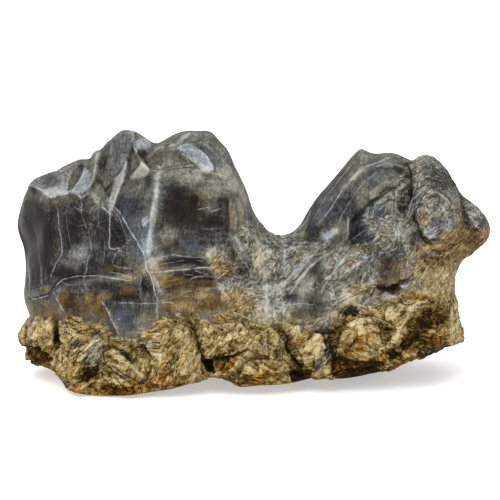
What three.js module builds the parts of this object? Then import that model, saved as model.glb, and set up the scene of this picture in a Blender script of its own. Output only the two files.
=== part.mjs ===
import * as THREE from 'three';
import { ImprovedNoise } from 'three/addons/math/ImprovedNoise.js';

// A viewing stone in the form of a mountain range with a pass: a broad polished massif on the
// left, a saddle, a rougher peak with a head-like knob on the right, and a crust of broken
// ochre blocks all round the foot. The whole stone is one body.
//
// Millimetres, +Z up. The stone's length runs along X and its show face looks toward -Y.

// ---------- driving dimensions ----------

const COLUMNS = 78; // faces along the stone: three for every two points of the skyline
const ROWS = 27; // faces from the foot to the skyline
const STRIPS = 3; // faces across the ridge, the two ends and the underside

const RIDGE_HALF_WIDTH = 5; // the ridge and the ends are bands this wide on both sides of the seam
const RIDGE_CROWN = 1; // the edges of those bands lie this far inside the outline

const LEFT_ROUNDING = 34; // how far in the left end turns into the show face
const RIGHT_ROUNDING = 24;
const BACK_ROUNDING = 40;

const REST_FROM = -118; // the flat the stone rests on, along the length
const REST_TO = 58;
const REST_EDGE = 0.18; // share of the underside's width that is edge, on each side of the flat
const UNDERCUT = 0.2; // behind the show face's foot the underside falls no more steeply than this

// The show face is drawn as a visitor sees it, from in front and a little above. A drawing point
// is [along, up] or [along, up, stand], where stand is how far the stone comes out in front of
// the plane y = 0.
const EYE_DISTANCE = 1400;
const EYE_RISE = THREE.MathUtils.degToRad(10);
const AIM_ALONG = -2.5; // the eye looks at this point of the plane y = 0
const AIM_HEIGHT = 86.5;
const AIM_UP = 87.3; // and the drawing shows that point this far up

// ---------- outlines of the show face ----------

const SKYLINE = [
  [-150, 134, 6], [-148, 136, 6], [-144.5, 137, 6], [-139.5, 139, 7], [-134, 141, 7],
  [-128, 144.5, 7], [-121.5, 147.5, 8], [-117.5, 149.5, 9], [-112, 149, 9],
  [-107.5, 152.5, 10], [-102, 157, 11], [-96, 163, 12], [-90, 168.5, 13], [-85, 168.5, 12],
  [-79.5, 167.5, 10], [-73, 163.5, 7], [-66, 159.5, 5], [-59.5, 163, 3], [-52.5, 166, 2],
  [-46, 168, 2], [-38.5, 168, 2], [-31, 168, 3], [-27.5, 166.5, 3], [-23, 161, 4],
  [-18, 156, 5], [-15.5, 151, 6], [-12, 143, 6], [-8.5, 136, 6], [-4.5, 128, 5],
  [-2, 117, 4], [1.5, 109, 4], [6.5, 103.5, 3], [11.5, 99, 2], [18.5, 96.5, 1], [26, 99, 1],
  [32, 105.5, 2], [39, 117.5, 3], [46, 127.5, 3], [54.5, 136, 5], [63, 146, 6], [72, 157, 7],
  [76.5, 154.5, 7], [83.5, 152, 7], [94.5, 154, 6], [107, 147.5, 8], [111, 150.5, 9],
  [115.5, 152.5, 11], [122.5, 151, 12], [132, 139, 13], [136, 131, 12], [141.5, 123, 12],
  [148, 120, 12], [154, 113.5, 12],
];

const FRONT_FOOT = [
  [-155, 17, 3], [-153.5, 13, 10], [-149, 10.5, 19], [-140, 12, 28], [-134.5, 5.5, 36],
  [-129, -3.5, 45], [-122.5, -10, 52], [-110, -13.5, 58], [-94, -13.5, 60], [-80.5, -12, 61],
  [-67, -9.5, 60], [-53.5, -7, 58], [-40, -3.5, 55], [-27, 0, 52], [-17.5, -2, 52],
  [-10.5, -6, 53], [1.5, -5, 53], [16.5, -4.5, 52], [28.5, -2.5, 50], [39.5, 0.5, 48],
  [55.5, -1, 48], [69, 1, 47], [84, 4, 45], [96.5, 9, 41], [111, 13, 36], [122.5, 15, 31],
  [130, 20, 22], [137.5, 23.5, 12], [141.5, 26.5, 5],
];

const LEFT_END = [
  [-155, 17, 2], [-154.5, 21, 0], [-158, 25.5, -2], [-159.5, 32, -3], [-155, 37, 2],
  [-151, 42, 8], [-155, 51, 10], [-155.5, 60.5, 7], [-154, 74, 1], [-154, 83.5, -3],
  [-155, 90, -5], [-157.5, 96, -6], [-159.5, 103, -5], [-158.5, 111, 0], [-156, 120.5, 5],
  [-153, 128, 7], [-149.5, 134, 6],
];

const RIGHT_END = [
  [141.5, 26.5, 2], [142, 33, -3], [139.5, 43.5, -5], [138.5, 51.5, -1], [136, 60.5, 5],
  [136.5, 69.5, 7], [139.5, 78.5, 8], [146.5, 83.5, 13], [155, 89.5, 18], [159, 95.5, 19],
  [160, 102, 17], [158, 108.5, 15], [154, 113.5, 13],
];

// ---------- levels of the show face: how far it stands out, from the foot to the shoulder ----------

const CRUST_LIP = [
  [-158, 32, 34], [-144.5, 34.5, 38], [-131, 33, 48], [-104, 30.5, 55], [-89, 24.5, 55],
  [-70, 32, 56], [-43, 35, 53], [-12.5, 38.5, 52], [11, 33, 46], [31.5, 31, 46],
  [62, 41.5, 46], [92, 46.5, 45], [119.5, 51, 40], [143, 53.5, 31],
];

const WALL_FOOT = [
  [-158, 40, 34], [-144.5, 42, 40], [-131, 42.5, 46], [-104, 41.5, 52], [-89, 32, 52],
  [-70, 40, 52], [-43, 44, 50], [-12.5, 48.5, 45], [11, 43.5, 38], [31.5, 40.5, 38],
  [62, 50, 40], [92, 56, 39], [119.5, 60.5, 33], [143, 61.5, 29],
];

const WALL_MIDDLE = [
  [-158, 79, 40], [-131, 79, 47], [-104, 79, 50], [-70, 79, 49], [-46.5, 79, 48],
  [-26, 79, 44], [-9.5, 75, 37], [5.5, 70.5, 31], [24.5, 68.5, 30], [41.5, 72.5, 33],
  [58.5, 79, 36], [78.5, 84, 37], [99, 84, 38], [122.5, 79, 34], [160, 79, 34],
];

const SHOULDER = [
  [-158, 118, 34], [-139.5, 122, 40], [-117.5, 123, 43], [-104, 117, 45], [-95.5, 111.5, 46],
  [-85, 118, 45], [-70, 128, 43], [-56.5, 132, 42], [-43, 136, 42], [-31, 136, 40],
  [-19.5, 129.5, 36], [-10.5, 117, 33], [-1, 97, 29], [9.5, 87.5, 28], [19, 84.5, 27],
  [28.5, 88.5, 27], [39.5, 101, 28], [53, 117, 29], [66.5, 129.5, 32], [84, 133.5, 34],
  [102.5, 132, 36], [119.5, 130.5, 38], [134, 120, 37], [150, 106.5, 33], [160, 101, 31],
];

// ---------- relief of the show face ----------

const SHOW_RELIEF = [
  // left crown: folds and facets between the skyline and the shoulder
  crest([[-105, 148.5], [-105, 143], [-106, 136], [-109, 130.5], [-112, 126.5]], 10, 10, 2.5),
  crest([[-102.5, 134], [-100.5, 130], [-98.5, 125]], 7, 7, -1.5),
  crest([[-86, 146], [-87, 138], [-89, 132], [-92, 124.5], [-96.5, 112.5]], 17, 7, 5),
  crest([[-81, 155], [-84, 145], [-84.5, 136], [-88, 126.5], [-91, 118]], 7, 13, -4.5),
  crest([[-78.5, 157.5], [-75, 147], [-70, 140]], 7, 8, 3),
  mound(-74.5, 148.5, 6, 5, -30, -4),
  crest([[-71, 151], [-66, 154.5], [-61.5, 157]], 7, 10, 3.5),
  crest([[-71, 141.5], [-56.5, 143], [-40, 144]], 7, 7, -2.5),
  crest([[-48, 151.5], [-38.5, 144], [-29.5, 139.5], [-22, 137.5]], 15, 7, 3.5),
  crest([
  [-53.5, 160], [-48, 162], [-40, 162], [-32.5, 161], [-27, 157.5], [-19.5, 148.5],
  [-14.5, 143],
], 7, 7, -2.5),
  crest([[-130, 144], [-127, 137.5], [-125, 126.5]], 7, 7, -1.5),
  // left wall: tall scallops parted by shallow creases
  mound(-145.5, 102, 11, 26, 8, 3.5),
  mound(-126, 99.5, 9, 28, 6, 4),
  mound(-103.5, 95.5, 11, 24, 10, 4.5),
  mound(-81.5, 106.5, 9, 22, 18, 3),
  crest([[-133, 115], [-132, 101], [-130, 87.5], [-131, 82], [-136, 74]], 8, 8, -3),
  crest([[-122.5, 118], [-117, 113], [-112, 99.5], [-110, 88.5], [-111.5, 79]], 8, 8, -2.5),
  crest([[-94, 116], [-86, 104.5], [-78.5, 92], [-73, 79], [-70, 70.5], [-67, 59]], 10, 10, -3),
  crest([[-68, 141.5], [-67, 129.5], [-68, 118], [-70, 104.5], [-71.5, 87.5]], 10, 13, 4),
  mound(-48, 116, 15, 21, 0, 6),
  mound(-27.5, 110.5, 10, 9, 0, 4),
  crest([[-17.5, 121], [-17.5, 111], [-17, 99.5]], 7, 11, -4),
  // left wall, lower half: level beds and the seam under the scallops
  crest([[-153, 53], [-140, 56], [-134.5, 63], [-124.5, 68.5], [-107.5, 70], [-96, 68.5]], 7, 8, -3.5),
  crest([[-70, 81], [-53.5, 84], [-34.5, 82.5]], 7, 7, 2),
  crest([[-65, 78], [-48.5, 79], [-31, 78]], 7, 7, -4),
  crest([[-70, 72], [-46.5, 74], [-29.5, 75]], 7, 7, 2),
  crest([[-63.5, 68.5], [-46.5, 69.5], [-28.5, 68.5]], 7, 7, -4),
  mound(-42, 60.5, 20, 5, 0, 2.5),
  crest([[-102.5, 52], [-95.5, 38.5], [-89, 25.5]], 11, 7, 4),
  mound(-79, 53.5, 10, 16, 10, 2.5),
  mound(-25.5, 86.5, 9, 5, 0, 3),
  mound(-23.5, 73, 8, 9, 0, -4),
  mound(-19.5, 61, 7, 5, 0, 3),
  mound(-117.5, 53.5, 14, 10, 0, 3),
  // saddle: a valley with slanting ribs that run down to the left
  crest([[19, 95.5], [21, 84], [20.5, 72.5], [20.5, 60.5]], 10, 10, -3),
  crest([[51.5, 94], [43.5, 87.5], [34.5, 79], [28, 72.5], [18, 59]], 8, 8, 5.5),
  crest([[49, 83.5], [39.5, 70.5], [31.5, 60.5], [22, 53]], 9, 9, -3),
  crest([[51.5, 86], [43.5, 80], [36.5, 73], [30, 65]], 7, 7, 3.5),
  crest([[62, 82], [58.5, 77], [55, 72.5], [48, 67]], 7, 8, 4),
  crest([[77.5, 84], [72, 79], [65, 75], [58.5, 69.5]], 7, 8, 4),
  mound(3, 79, 8, 16, 0, 3),
  mound(5.5, 52, 12, 10, 0, 3),
  // right peak: lines that flow down its slope, a hollow, a cave and the cleft beside the head
  crest([[82, 143.5], [75.5, 141], [62, 131.5], [48, 118], [41.5, 109]], 13, 7, 4),
  crest([[97.5, 130.5], [89, 126], [80.5, 120], [76, 115]], 7, 7, -5),
  crest([[91, 148.5], [80, 140], [66.5, 128], [57, 118.5]], 7, 7, -2.5),
  crest([[104.5, 145], [106.5, 136], [106, 122.5], [107, 108.5], [110, 97]], 8, 8, -7),
  mound(101, 137.5, 6, 5, 0, -4),
  mound(72.5, 97, 11, 10, 15, -9),
  crest([[62.5, 87.5], [72, 86.5], [83, 88.5]], 7, 7, 4),
  mound(93, 106.5, 11, 14, -15, 4),
  boss(92, 72, 9, 7, 0, 6),
  mound(91.5, 61, 8, 3.5, 6, -8),
  mound(62, 59, 9, 8, 0, 3),
  // head knob and its nub, with the neck cut in under them
  boss(124, 113, 17, 26, -12, 13),
  boss(124, 101, 14, 11, 0, 4),
  crest([[111, 94], [119.5, 85.5], [129.5, 83.5], [139, 85.5]], 8, 14, -9),
  crest([[141.5, 122.5], [143.5, 111.5], [145, 99.5], [149, 94]], 7, 7, -8),
  boss(152.5, 104.5, 8, 17, -15, 8),
  mound(123.5, 72.5, 13, 10, 0, -3),
  // deep breaks in the crust
  crest([[-134, 38.5], [-134, 29], [-132, 19.5]], 7, 7, -8),
  mound(-113, 1.5, 6, 8, 20, -9),
  crest([[-44, 39.5], [-40.5, 33], [-38.5, 25], [-33, 11.5]], 7, 7, -7),
  mound(-30.5, 9.5, 6, 6, 0, -9),
  crest([[18, 33], [22.5, 26.5], [24, 18.5], [31.5, 7.5]], 7, 7, -7),
  mound(33.5, 5.5, 8, 7, 0, -8),
  crest([[45, 31], [51.5, 32], [57.5, 35]], 7, 7, -5),
  crest([[84, 36], [87, 25.5], [91, 18.5]], 7, 7, -5),
  mound(77.5, 4, 13, 5, 0, -9),
  mound(53.5, 13.5, 4, 7, 0, -6),
];

// Blocks of the crust on the show face: [along, up, half length, half height, turn, stand].
const SHOW_BLOCKS = [
  [-146, 30, 12, 9, -8, 8], [-147.5, 15.5, 9, 4, 0, 4], [-119, 26.5, 13, 11, 6, 9],
  [-119, 4.5, 13, 13, 25, 10], [-105, 19.5, 9, 10, -30, 7], [-89, 12, 10, 11, -20, 9],
  [-90.5, -3.5, 17, 6, -16, 10], [-73, 25, 10, 7, 0, 7], [-63.5, 11.5, 10, 10, 20, 10],
  [-60, -2, 10, 5, 0, 8], [-52.5, 32, 9, 8, 0, 7], [-46, 7.5, 9, 10, -25, 9],
  [-32.5, 30, 7, 9, -12, 6], [-19, 25.5, 9, 8, 4, 9], [-17.5, 7.5, 10, 8, 0, 6],
  [-1, 23, 10, 10, 15, 8], [-1, 4.5, 11, 8, -5, 9], [13.5, 10, 9, 11, -15, 8],
  [12.5, 28, 7, 6, 0, 5], [30, 31, 5, 9, 0, 8], [43.5, 17, 9, 14, 5, 9],
  [59.5, 23, 9, 11, 10, 7], [73.5, 30, 10, 11, -10, 10], [78, 14, 11, 7, 5, 9],
  [64.5, 6, 7, 5, 0, 6], [97, 36.5, 8, 13, 25, 10], [97.5, 19.5, 9, 7, 0, 7],
  [116, 38.5, 12, 11, -10, 8], [115.5, 21, 11, 6, -5, 6], [135, 38.5, 6, 9, 0, 7],
  [133, 26.5, 6, 5, 0, 5],
];

// ---------- the back ----------

// Foot of the back: [x, how far behind the plane y = 0, z]; it starts and ends at the ends' feet.
const BACK_FOOT = [
  [-148, 12, 14], [-138, 26, 12], [-122, 40, 5], [-100, 48, 2], [-70, 54, 1], [-35, 58, 2],
  [0, 54, 4], [35, 50, 4], [70, 52, 6], [98, 45, 11], [122, 32, 17], [136, 15, 23],
];

// How far the back stands behind the plane y = 0: [x, at the foot, at mid height, drop of its top].
const BACK_LEVELS = [
  [-160, 30, 26, 40], [-125, 42, 38, 46], [-90, 50, 44, 58], [-50, 56, 50, 70], [-15, 54, 45, 60],
  [5, 48, 32, 36], [25, 46, 30, 34], [50, 50, 38, 52], [80, 50, 42, 62], [110, 43, 38, 55],
  [135, 34, 30, 50], [160, 24, 18, 44],
];

// Relief of the back, on [x, z].
const BACK_RELIEF = [
  crest([[-128, 128], [-118, 96], [-124, 62], [-112, 40]], 12, 9, -5),
  crest([[-92, 158], [-84, 128], [-70, 98], [-74, 60]], 14, 10, 6),
  crest([[-48, 156], [-56, 124], [-40, 90], [-48, 52]], 11, 13, -6),
  crest([[-16, 142], [-20, 112], [-8, 80], [-12, 50]], 10, 12, 5),
  crest([[-140, 84], [-100, 76], [-60, 80], [-20, 70]], 7, 8, -4),
  crest([[20, 92], [8, 70], [12, 46]], 10, 10, -5),
  crest([[66, 144], [50, 118], [36, 92], [28, 70]], 9, 12, 5),
  crest([[92, 152], [96, 120], [84, 88], [92, 56]], 10, 12, -6),
  crest([[60, 88], [90, 80], [128, 86]], 8, 8, -5),
  mound(-108, 108, 18, 24, 10, 5),
  mound(-32, 104, 16, 26, -8, 6),
  mound(74, 104, 18, 22, -20, 5),
  mound(122, 112, 20, 22, 10, 8),
  mound(126, 70, 14, 12, 0, -5),
];
const BACK_BLOCKS = scatterBlocks(-140, 130, 13, [10, 28], 7);

// Top of the crust on the back: [x, z].
const BACK_CRUST = [
  [-160, 42], [-125, 33], [-92, 47], [-64, 32], [-30, 40], [0, 30], [28, 45], [58, 35], [95, 50],
  [130, 40], [160, 48],
];

// Relief of the two ends, on [y, z]. It only cuts in, so the outline of the show face holds.
const LEFT_RELIEF = [
  crest([[-50, 120], [-20, 96], [6, 88], [40, 104]], 10, 8, -6),
  crest([[26, 136], [20, 100], [30, 62]], 9, 9, -5),
  crest([[-40, 52], [-12, 60], [30, 50]], 6, 8, -5),
  mound(30, 76, 14, 20, 0, -5),
  mound(-28, 108, 12, 18, 0, -3),
];
const RIGHT_RELIEF = [
  crest([[-34, 92], [-10, 84], [20, 96], [40, 118]], 8, 8, -6),
  crest([[18, 140], [26, 104], [12, 66]], 9, 9, -5),
  crest([[-30, 56], [0, 64], [34, 52]], 6, 8, -5),
  mound(-14, 128, 12, 14, 0, -4),
  mound(30, 80, 14, 18, 0, -5),
];
const END_REACH = 42; // how far in from an end its own relief fades out

// ---------- forms that the relief is made of ----------

// Distance from a point to a line of points, negative to the right of the line's direction.
function signedDistance(line, along, up) {
  let nearest = Infinity;
  let side = 1;
  for (let i = 1; i < line.length; i++) {
    const [fromAlong, fromUp] = line[i - 1];
    const stepAlong = line[i][0] - fromAlong;
    const stepUp = line[i][1] - fromUp;
    const offAlong = along - fromAlong;
    const offUp = up - fromUp;
    const share = THREE.MathUtils.clamp(
      (offAlong * stepAlong + offUp * stepUp) / (stepAlong ** 2 + stepUp ** 2), 0, 1);
    const distance = Math.hypot(offAlong - share * stepAlong, offUp - share * stepUp);
    if (distance < nearest) {
      nearest = distance;
      side = stepAlong * offUp - stepUp * offAlong < 0 ? -1 : 1;
    }
  }
  return side * nearest;
}

// A sharp ridge (height > 0) or groove (height < 0) that fades out over its own width on each side.
function crest(line, leftWidth, rightWidth, height) {
  return (along, up) => {
    const distance = signedDistance(line, along, up);
    const share = distance > 0 ? distance / leftWidth : -distance / rightWidth;
    return height * Math.max(0, 1 - share) ** 1.4;
  };
}

// Offset from a centre, in half lengths and half heights of a form that is turned by `turn` degrees.
function inForm(along, up, centreAlong, centreUp, halfLength, halfHeight, turn) {
  const offset = new THREE.Vector2(along - centreAlong, up - centreUp);
  offset.rotateAround(new THREE.Vector2(), THREE.MathUtils.degToRad(-turn));
  return [offset.x / halfLength, offset.y / halfHeight];
}

// A rounded lump (height > 0) or hollow (height < 0).
function mound(centreAlong, centreUp, halfLength, halfHeight, turn, height) {
  return (along, up) => {
    const [across, over] = inForm(along, up, centreAlong, centreUp, halfLength, halfHeight, turn);
    const inside = Math.max(0, 1 - (across ** 2 + over ** 2) / 2);
    return height * inside ** 1.5;
  };
}

// A lump with a clear rim (height > 0) or a pit with one (height < 0).
function boss(centreAlong, centreUp, halfLength, halfHeight, turn, height) {
  return (along, up) => {
    const [across, over] = inForm(along, up, centreAlong, centreUp, halfLength, halfHeight, turn);
    return height * Math.sqrt(Math.max(0, 1 - across ** 2 - over ** 2));
  };
}

// A broken block: a flat, slightly tipped face with steep sides.
function block([centreAlong, centreUp, halfLength, halfHeight, turn, stand]) {
  const tip = 0.25 * Math.sin(centreAlong * 1.7 + centreUp);
  const lean = 0.3 * Math.cos(centreAlong + centreUp * 2.3);
  return (along, up) => {
    const [across, over] = inForm(along, up, centreAlong, centreUp, halfLength, halfHeight, turn);
    const face = stand * (1 + tip * across + lean * over);
    const inFromEnd = halfLength * (1.15 - Math.abs(across));
    const inFromTop = halfHeight * (1.15 - Math.abs(over));
    const sides = 1.1 * Math.min(inFromEnd, inFromTop);
    return Math.max(0, Math.min(face, sides));
  };
}

// Blocks for a side that has no drawing: rows of them, each pushed, turned and sized by chance.
function scatterBlocks(fromAlong, toAlong, spacing, heights, seed) {
  THREE.MathUtils.seededRandom(seed);
  const chance = (low, high) => low + (high - low) * THREE.MathUtils.seededRandom();
  const blocks = [];
  for (const height of heights) {
    for (let along = fromAlong; along < toAlong; along += chance(1.2, 1.8) * spacing) {
      const centre = [along, height + chance(-4, 4)];
      const halfSizes = [chance(0.55, 1.1) * spacing, chance(6, 11)];
      blocks.push([...centre, ...halfSizes, chance(-35, 35), chance(5, 10)]);
    }
  }
  return blocks;
}

const sum = (forms, along, up) => forms.reduce((total, form) => total + form(along, up), 0);
const highest = (forms, along, up) => forms.reduce((top, form) => Math.max(top, form(along, up)), 0);

const noise = new ImprovedNoise();
function roughness(x, y, z, size) {
  return noise.noise(x / size, y / size, z / size);
}

// ---------- helpers for levels and places ----------

// A level's values at one place along the stone, from a list whose rows start with that place.
function levelAt(list, along) {
  const next = list.findIndex((row) => row[0] > along);
  if (next === 0) return list[0].slice(1);
  if (next === -1) return list.at(-1).slice(1);
  const [before, after] = [list[next - 1], list[next]];
  const share = THREE.MathUtils.smoothstep(along, before[0], after[0]);
  const even = (along - before[0]) / (after[0] - before[0]);
  const mix = (share + even) / 2;
  return before.slice(1).map((value, i) => THREE.MathUtils.lerp(value, after[i + 1], mix));
}

// The place in space of a drawing point that stands out by `stand`.
function inSpace(along, up, stand) {
  const [level, tilt] = [Math.cos(EYE_RISE), Math.sin(EYE_RISE)];
  const rise = up - AIM_UP;
  const height = (rise * (EYE_DISTANCE - stand * level) + EYE_DISTANCE * stand * tilt)
    / (EYE_DISTANCE * level + rise * tilt);
  const scale = (EYE_DISTANCE - stand * level - height * tilt) / EYE_DISTANCE;
  return new THREE.Vector3(AIM_ALONG + (along - AIM_ALONG) * scale, -stand, AIM_HEIGHT + height);
}

// 0 at an end of the stone, 1 once it is `radius` in from it, round in between.
function roundOff(distance, radius) {
  const share = THREE.MathUtils.clamp(distance / radius, 0, 1);
  return Math.sqrt(1 - (1 - share) ** 2);
}

// A surface stretched between four edge curves, at `s` along and `t` up.
function stretched(bottom, top, left, right, s, t) {
  const between = (from, to, share) => from.clone().lerp(to, share);
  const upright = between(bottom(s), top(s), t);
  const sideways = between(left(t), right(t), s);
  const corners = between(between(left(0), right(0), s), between(left(1), right(1), s), t);
  return upright.add(sideways).sub(corners);
}

function curveThrough(points) {
  return new THREE.CatmullRomCurve3(points.map((point) => new THREE.Vector3(...point)));
}

const skyline = curveThrough(SKYLINE);
const frontFoot = curveThrough(FRONT_FOOT);
const leftEnd = curveThrough(LEFT_END);
const rightEnd = curveThrough(RIGHT_END);

// ---------- the show face ----------

const SHOW_LEVELS = [FRONT_FOOT, CRUST_LIP, WALL_FOOT, WALL_MIDDLE, SHOULDER];

// How far the show face stands out at a drawing point, before its relief.
function showStand(along, up, seam, fromLeft, fromRight) {
  const levels = SHOW_LEVELS.map((list) => levelAt(list, along));
  const [top, ridge] = levelAt(SKYLINE, along);
  const [shoulderUp, shoulderStand] = levels.at(-1);
  let stand;
  if (up >= shoulderUp) {
    const drop = THREE.MathUtils.clamp((top - up) / (top - shoulderUp), 0, 1);
    stand = THREE.MathUtils.lerp(ridge, shoulderStand, drop ** 0.75);
  } else {
    const next = Math.max(1, levels.findIndex(([height]) => height > up));
    const [lower, upper] = [levels[next - 1], levels[next]];
    const share = THREE.MathUtils.clamp((up - lower[0]) / (upper[0] - lower[0]), 0, 1);
    stand = THREE.MathUtils.lerp(lower[1], upper[1], share);
  }
  const swell = roundOff(fromLeft, LEFT_ROUNDING) * roundOff(fromRight, RIGHT_ROUNDING);
  return seam + (stand - seam) * swell;
}

const showBlocks = SHOW_BLOCKS.map(block);

function showPlace(s, t) {
  const drawn = stretched(
    (share) => frontFoot.getPoint(share), (share) => skyline.getPoint(share),
    (share) => leftEnd.getPointAt(share), (share) => rightEnd.getPointAt(share), s, t);
  const [along, up] = [drawn.x, drawn.y];
  const fromLeft = along - leftEnd.getPointAt(t).x;
  const fromRight = rightEnd.getPointAt(t).x - along;
  const edge = Math.min(1, fromLeft / 12, fromRight / 12, (1 - t) * 9);
  const base = showStand(along, up, drawn.z, fromLeft, fromRight);
  const crust = THREE.MathUtils.smoothstep(levelAt(CRUST_LIP, along)[0] + 3 - up, 0, 5);
  const relief = sum(SHOW_RELIEF, along, up) + crust * highest(showBlocks, along, up);
  const grain = 1.6 * roughness(along, up, 0, 34) + 1.0 * roughness(along, up, 0, 12);
  return inSpace(along, up, Math.max(base + (relief + grain) * edge, drawn.z) + RIDGE_HALF_WIDTH);
}

// ---------- the back of the stone ----------

// The seam is the band where the show face and the back meet, over the ridge and down both ends.
// These are its edges on the side of the back.
const behindSeam = ({ x, y, z }) => inSpace(x, y, z - RIDGE_HALF_WIDTH);
const seamTop = (s) => behindSeam(skyline.getPoint(s));
const seamLeft = (t) => behindSeam(leftEnd.getPointAt(t));
const seamRight = (t) => behindSeam(rightEnd.getPointAt(t));

const backFootLine = curveThrough([
  seamLeft(0).toArray(),
  ...BACK_FOOT.map(([x, behind, z]) => [x, behind, z]),
  seamRight(0).toArray(),
]);
const backBlocks = BACK_BLOCKS.map(block);

function backPlace(s, t) {
  const place = stretched((share) => backFootLine.getPoint(share), seamTop, seamLeft, seamRight, s, t);
  const seam = THREE.MathUtils.lerp(seamLeft(t).y, seamRight(t).y, s) * (1 - t) + seamTop(s).y * t;
  const fromLeft = place.x - seamLeft(t).x;
  const fromRight = seamRight(t).x - place.x;
  const top = seamTop(s).z;
  const [foot, middle, drop] = levelAt(BACK_LEVELS, place.x);
  const crown = roundOff(top - place.z, drop);
  const [crustTop] = levelAt(BACK_CRUST, place.x);
  const aboveCrust = THREE.MathUtils.smoothstep(place.z, crustTop - 5, crustTop + 5);
  const wall = THREE.MathUtils.lerp(foot, middle, aboveCrust);
  const swell = roundOff(fromLeft, BACK_ROUNDING) * roundOff(fromRight, BACK_ROUNDING);
  const edge = Math.min(1, fromLeft / 14, fromRight / 14, (1 - t) * 9);
  const crust = THREE.MathUtils.smoothstep(crustTop + 3 - place.z, 0, 6);
  const relief = sum(BACK_RELIEF, place.x, place.z) + crust * highest(backBlocks, place.x, place.z);
  const grain = 6 * roughness(place.x, place.z, 40, 46) + 2.2 * roughness(place.x, place.z, 40, 17);
  const behind = seam + (wall - seam) * crown * swell + (relief + grain) * edge;
  place.y = Math.max(behind, seam);
  return place;
}

// ---------- the whole body: a finely divided box, bent to the stone ----------

// Rows lie closer together at the foot and at the top, where the stone has most relief.
const rowShare = (share) => share - 0.07 * Math.sin(2 * Math.PI * share);

// The underside: flat in the middle, lifting toward both ends of the stone.
function undersideHeight(x, footHeight) {
  const beyond = Math.max(REST_FROM - x, x - REST_TO, 0);
  return footHeight * THREE.MathUtils.smoothstep(beyond, 0, 60);
}

// A place on an edge of the flat, set well back where the show face's foot is off the ground.
function undersidePlace(front, back, across) {
  const height = undersideHeight(front.x, Math.min(front.z, back.z));
  const setBack = (front.z - height) / UNDERCUT / (back.y - front.y);
  const share = across < 0.5 ? THREE.MathUtils.clamp(setBack, REST_EDGE, 0.5) : 1 - REST_EDGE;
  const place = front.clone().lerp(back, share);
  place.z = height;
  return place;
}

// Cuts the relief of an end into a place on the front or the back.
function carveEnds(place, seamY, fromLeft, fromRight) {
  const offSeam = THREE.MathUtils.smoothstep(Math.abs(place.y - seamY), RIDGE_HALF_WIDTH, 18);
  const nearLeft = 1 - THREE.MathUtils.smoothstep(fromLeft, 0, END_REACH);
  const nearRight = 1 - THREE.MathUtils.smoothstep(fromRight, 0, END_REACH);
  place.x -= offSeam * nearLeft * sum(LEFT_RELIEF, place.y, place.z);
  place.x += offSeam * nearRight * sum(RIGHT_RELIEF, place.y, place.z);
}

function bend(along, across, up) {
  const t = rowShare(up);
  const front = showPlace(along, t);
  const back = backPlace(along, t);
  const [left, right] = [seamLeft(t), seamRight(t)];
  for (const place of [front, back]) {
    const seamY = THREE.MathUtils.lerp(left.y, right.y, along) - RIDGE_HALF_WIDTH;
    carveEnds(place, seamY, Math.abs(place.x - left.x), Math.abs(right.x - place.x));
  }
  front.z = Math.max(front.z, 0);
  const inward = new THREE.Vector3(along === 0 ? 1 : along === 1 ? -1 : 0, 0, up === 1 ? -1 : 0);
  if (across === 0) return front.addScaledVector(inward, RIDGE_CROWN);
  if (across === 1) return back.addScaledVector(inward, RIDGE_CROWN);
  if (up > 0) return front.lerp(back, across);
  return undersidePlace(front, back, across);
}

function stoneGeometry() {
  const geometry = new THREE.BoxGeometry(1, 1, 1, COLUMNS, STRIPS, ROWS);
  const position = geometry.attributes.position;
  for (let i = 0; i < position.count; i++) {
    const column = Math.round((position.getX(i) + 0.5) * COLUMNS);
    const strip = Math.round((position.getY(i) + 0.5) * STRIPS);
    const row = Math.round((position.getZ(i) + 0.5) * ROWS);
    position.setXYZ(i, ...bend(column / COLUMNS, strip / STRIPS, row / ROWS).toArray());
  }
  geometry.computeBoundingBox();
  const { min, max } = geometry.boundingBox;
  geometry.translate(-(min.x + max.x) / 2, -(min.y + max.y) / 2, -min.z);
  geometry.computeVertexNormals();
  return geometry;
}

const stone = new THREE.Mesh(
  stoneGeometry(),
  new THREE.MeshStandardMaterial({ color: '#4d4a45', roughness: 0.55, metalness: 0 }),
);
stone.name = 'stone';

const object = new THREE.Group();
object.add(stone);
export default object;
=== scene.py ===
"""Viewing stone: the fine stone with its rock finishes, and the plain stage it is shown on.

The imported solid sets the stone's place and form. The fine stone is a divided copy of it, cut
over with the creases, beds, chips and breaks that the plain solid is too coarse to hold.
"""
import math
from types import SimpleNamespace

import bpy
import numpy as np
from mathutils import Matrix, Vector


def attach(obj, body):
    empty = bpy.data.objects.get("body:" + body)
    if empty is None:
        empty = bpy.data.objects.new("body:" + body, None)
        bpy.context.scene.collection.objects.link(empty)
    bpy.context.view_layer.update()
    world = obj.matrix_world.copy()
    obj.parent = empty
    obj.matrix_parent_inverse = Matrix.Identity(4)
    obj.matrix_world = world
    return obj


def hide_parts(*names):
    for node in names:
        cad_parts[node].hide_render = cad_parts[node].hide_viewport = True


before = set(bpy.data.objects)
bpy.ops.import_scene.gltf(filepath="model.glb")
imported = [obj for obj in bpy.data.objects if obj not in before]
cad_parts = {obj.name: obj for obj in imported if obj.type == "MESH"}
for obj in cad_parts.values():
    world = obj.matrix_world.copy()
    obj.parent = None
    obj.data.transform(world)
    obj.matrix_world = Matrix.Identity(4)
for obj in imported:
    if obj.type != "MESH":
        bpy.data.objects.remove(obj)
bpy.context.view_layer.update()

bl_info = {
    "name": "Viewing Stone",
    "version": (1, 0, 0),
    "blender": (4, 5, 0),
    "location": "View3D > Sidebar > Stone",
    "description": "Makes a polished and crusted mountain viewing stone on a plain stage",
    "category": "Add Mesh",
}

MM = 0.001

# ---------- the drawing of the show face ----------

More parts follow.
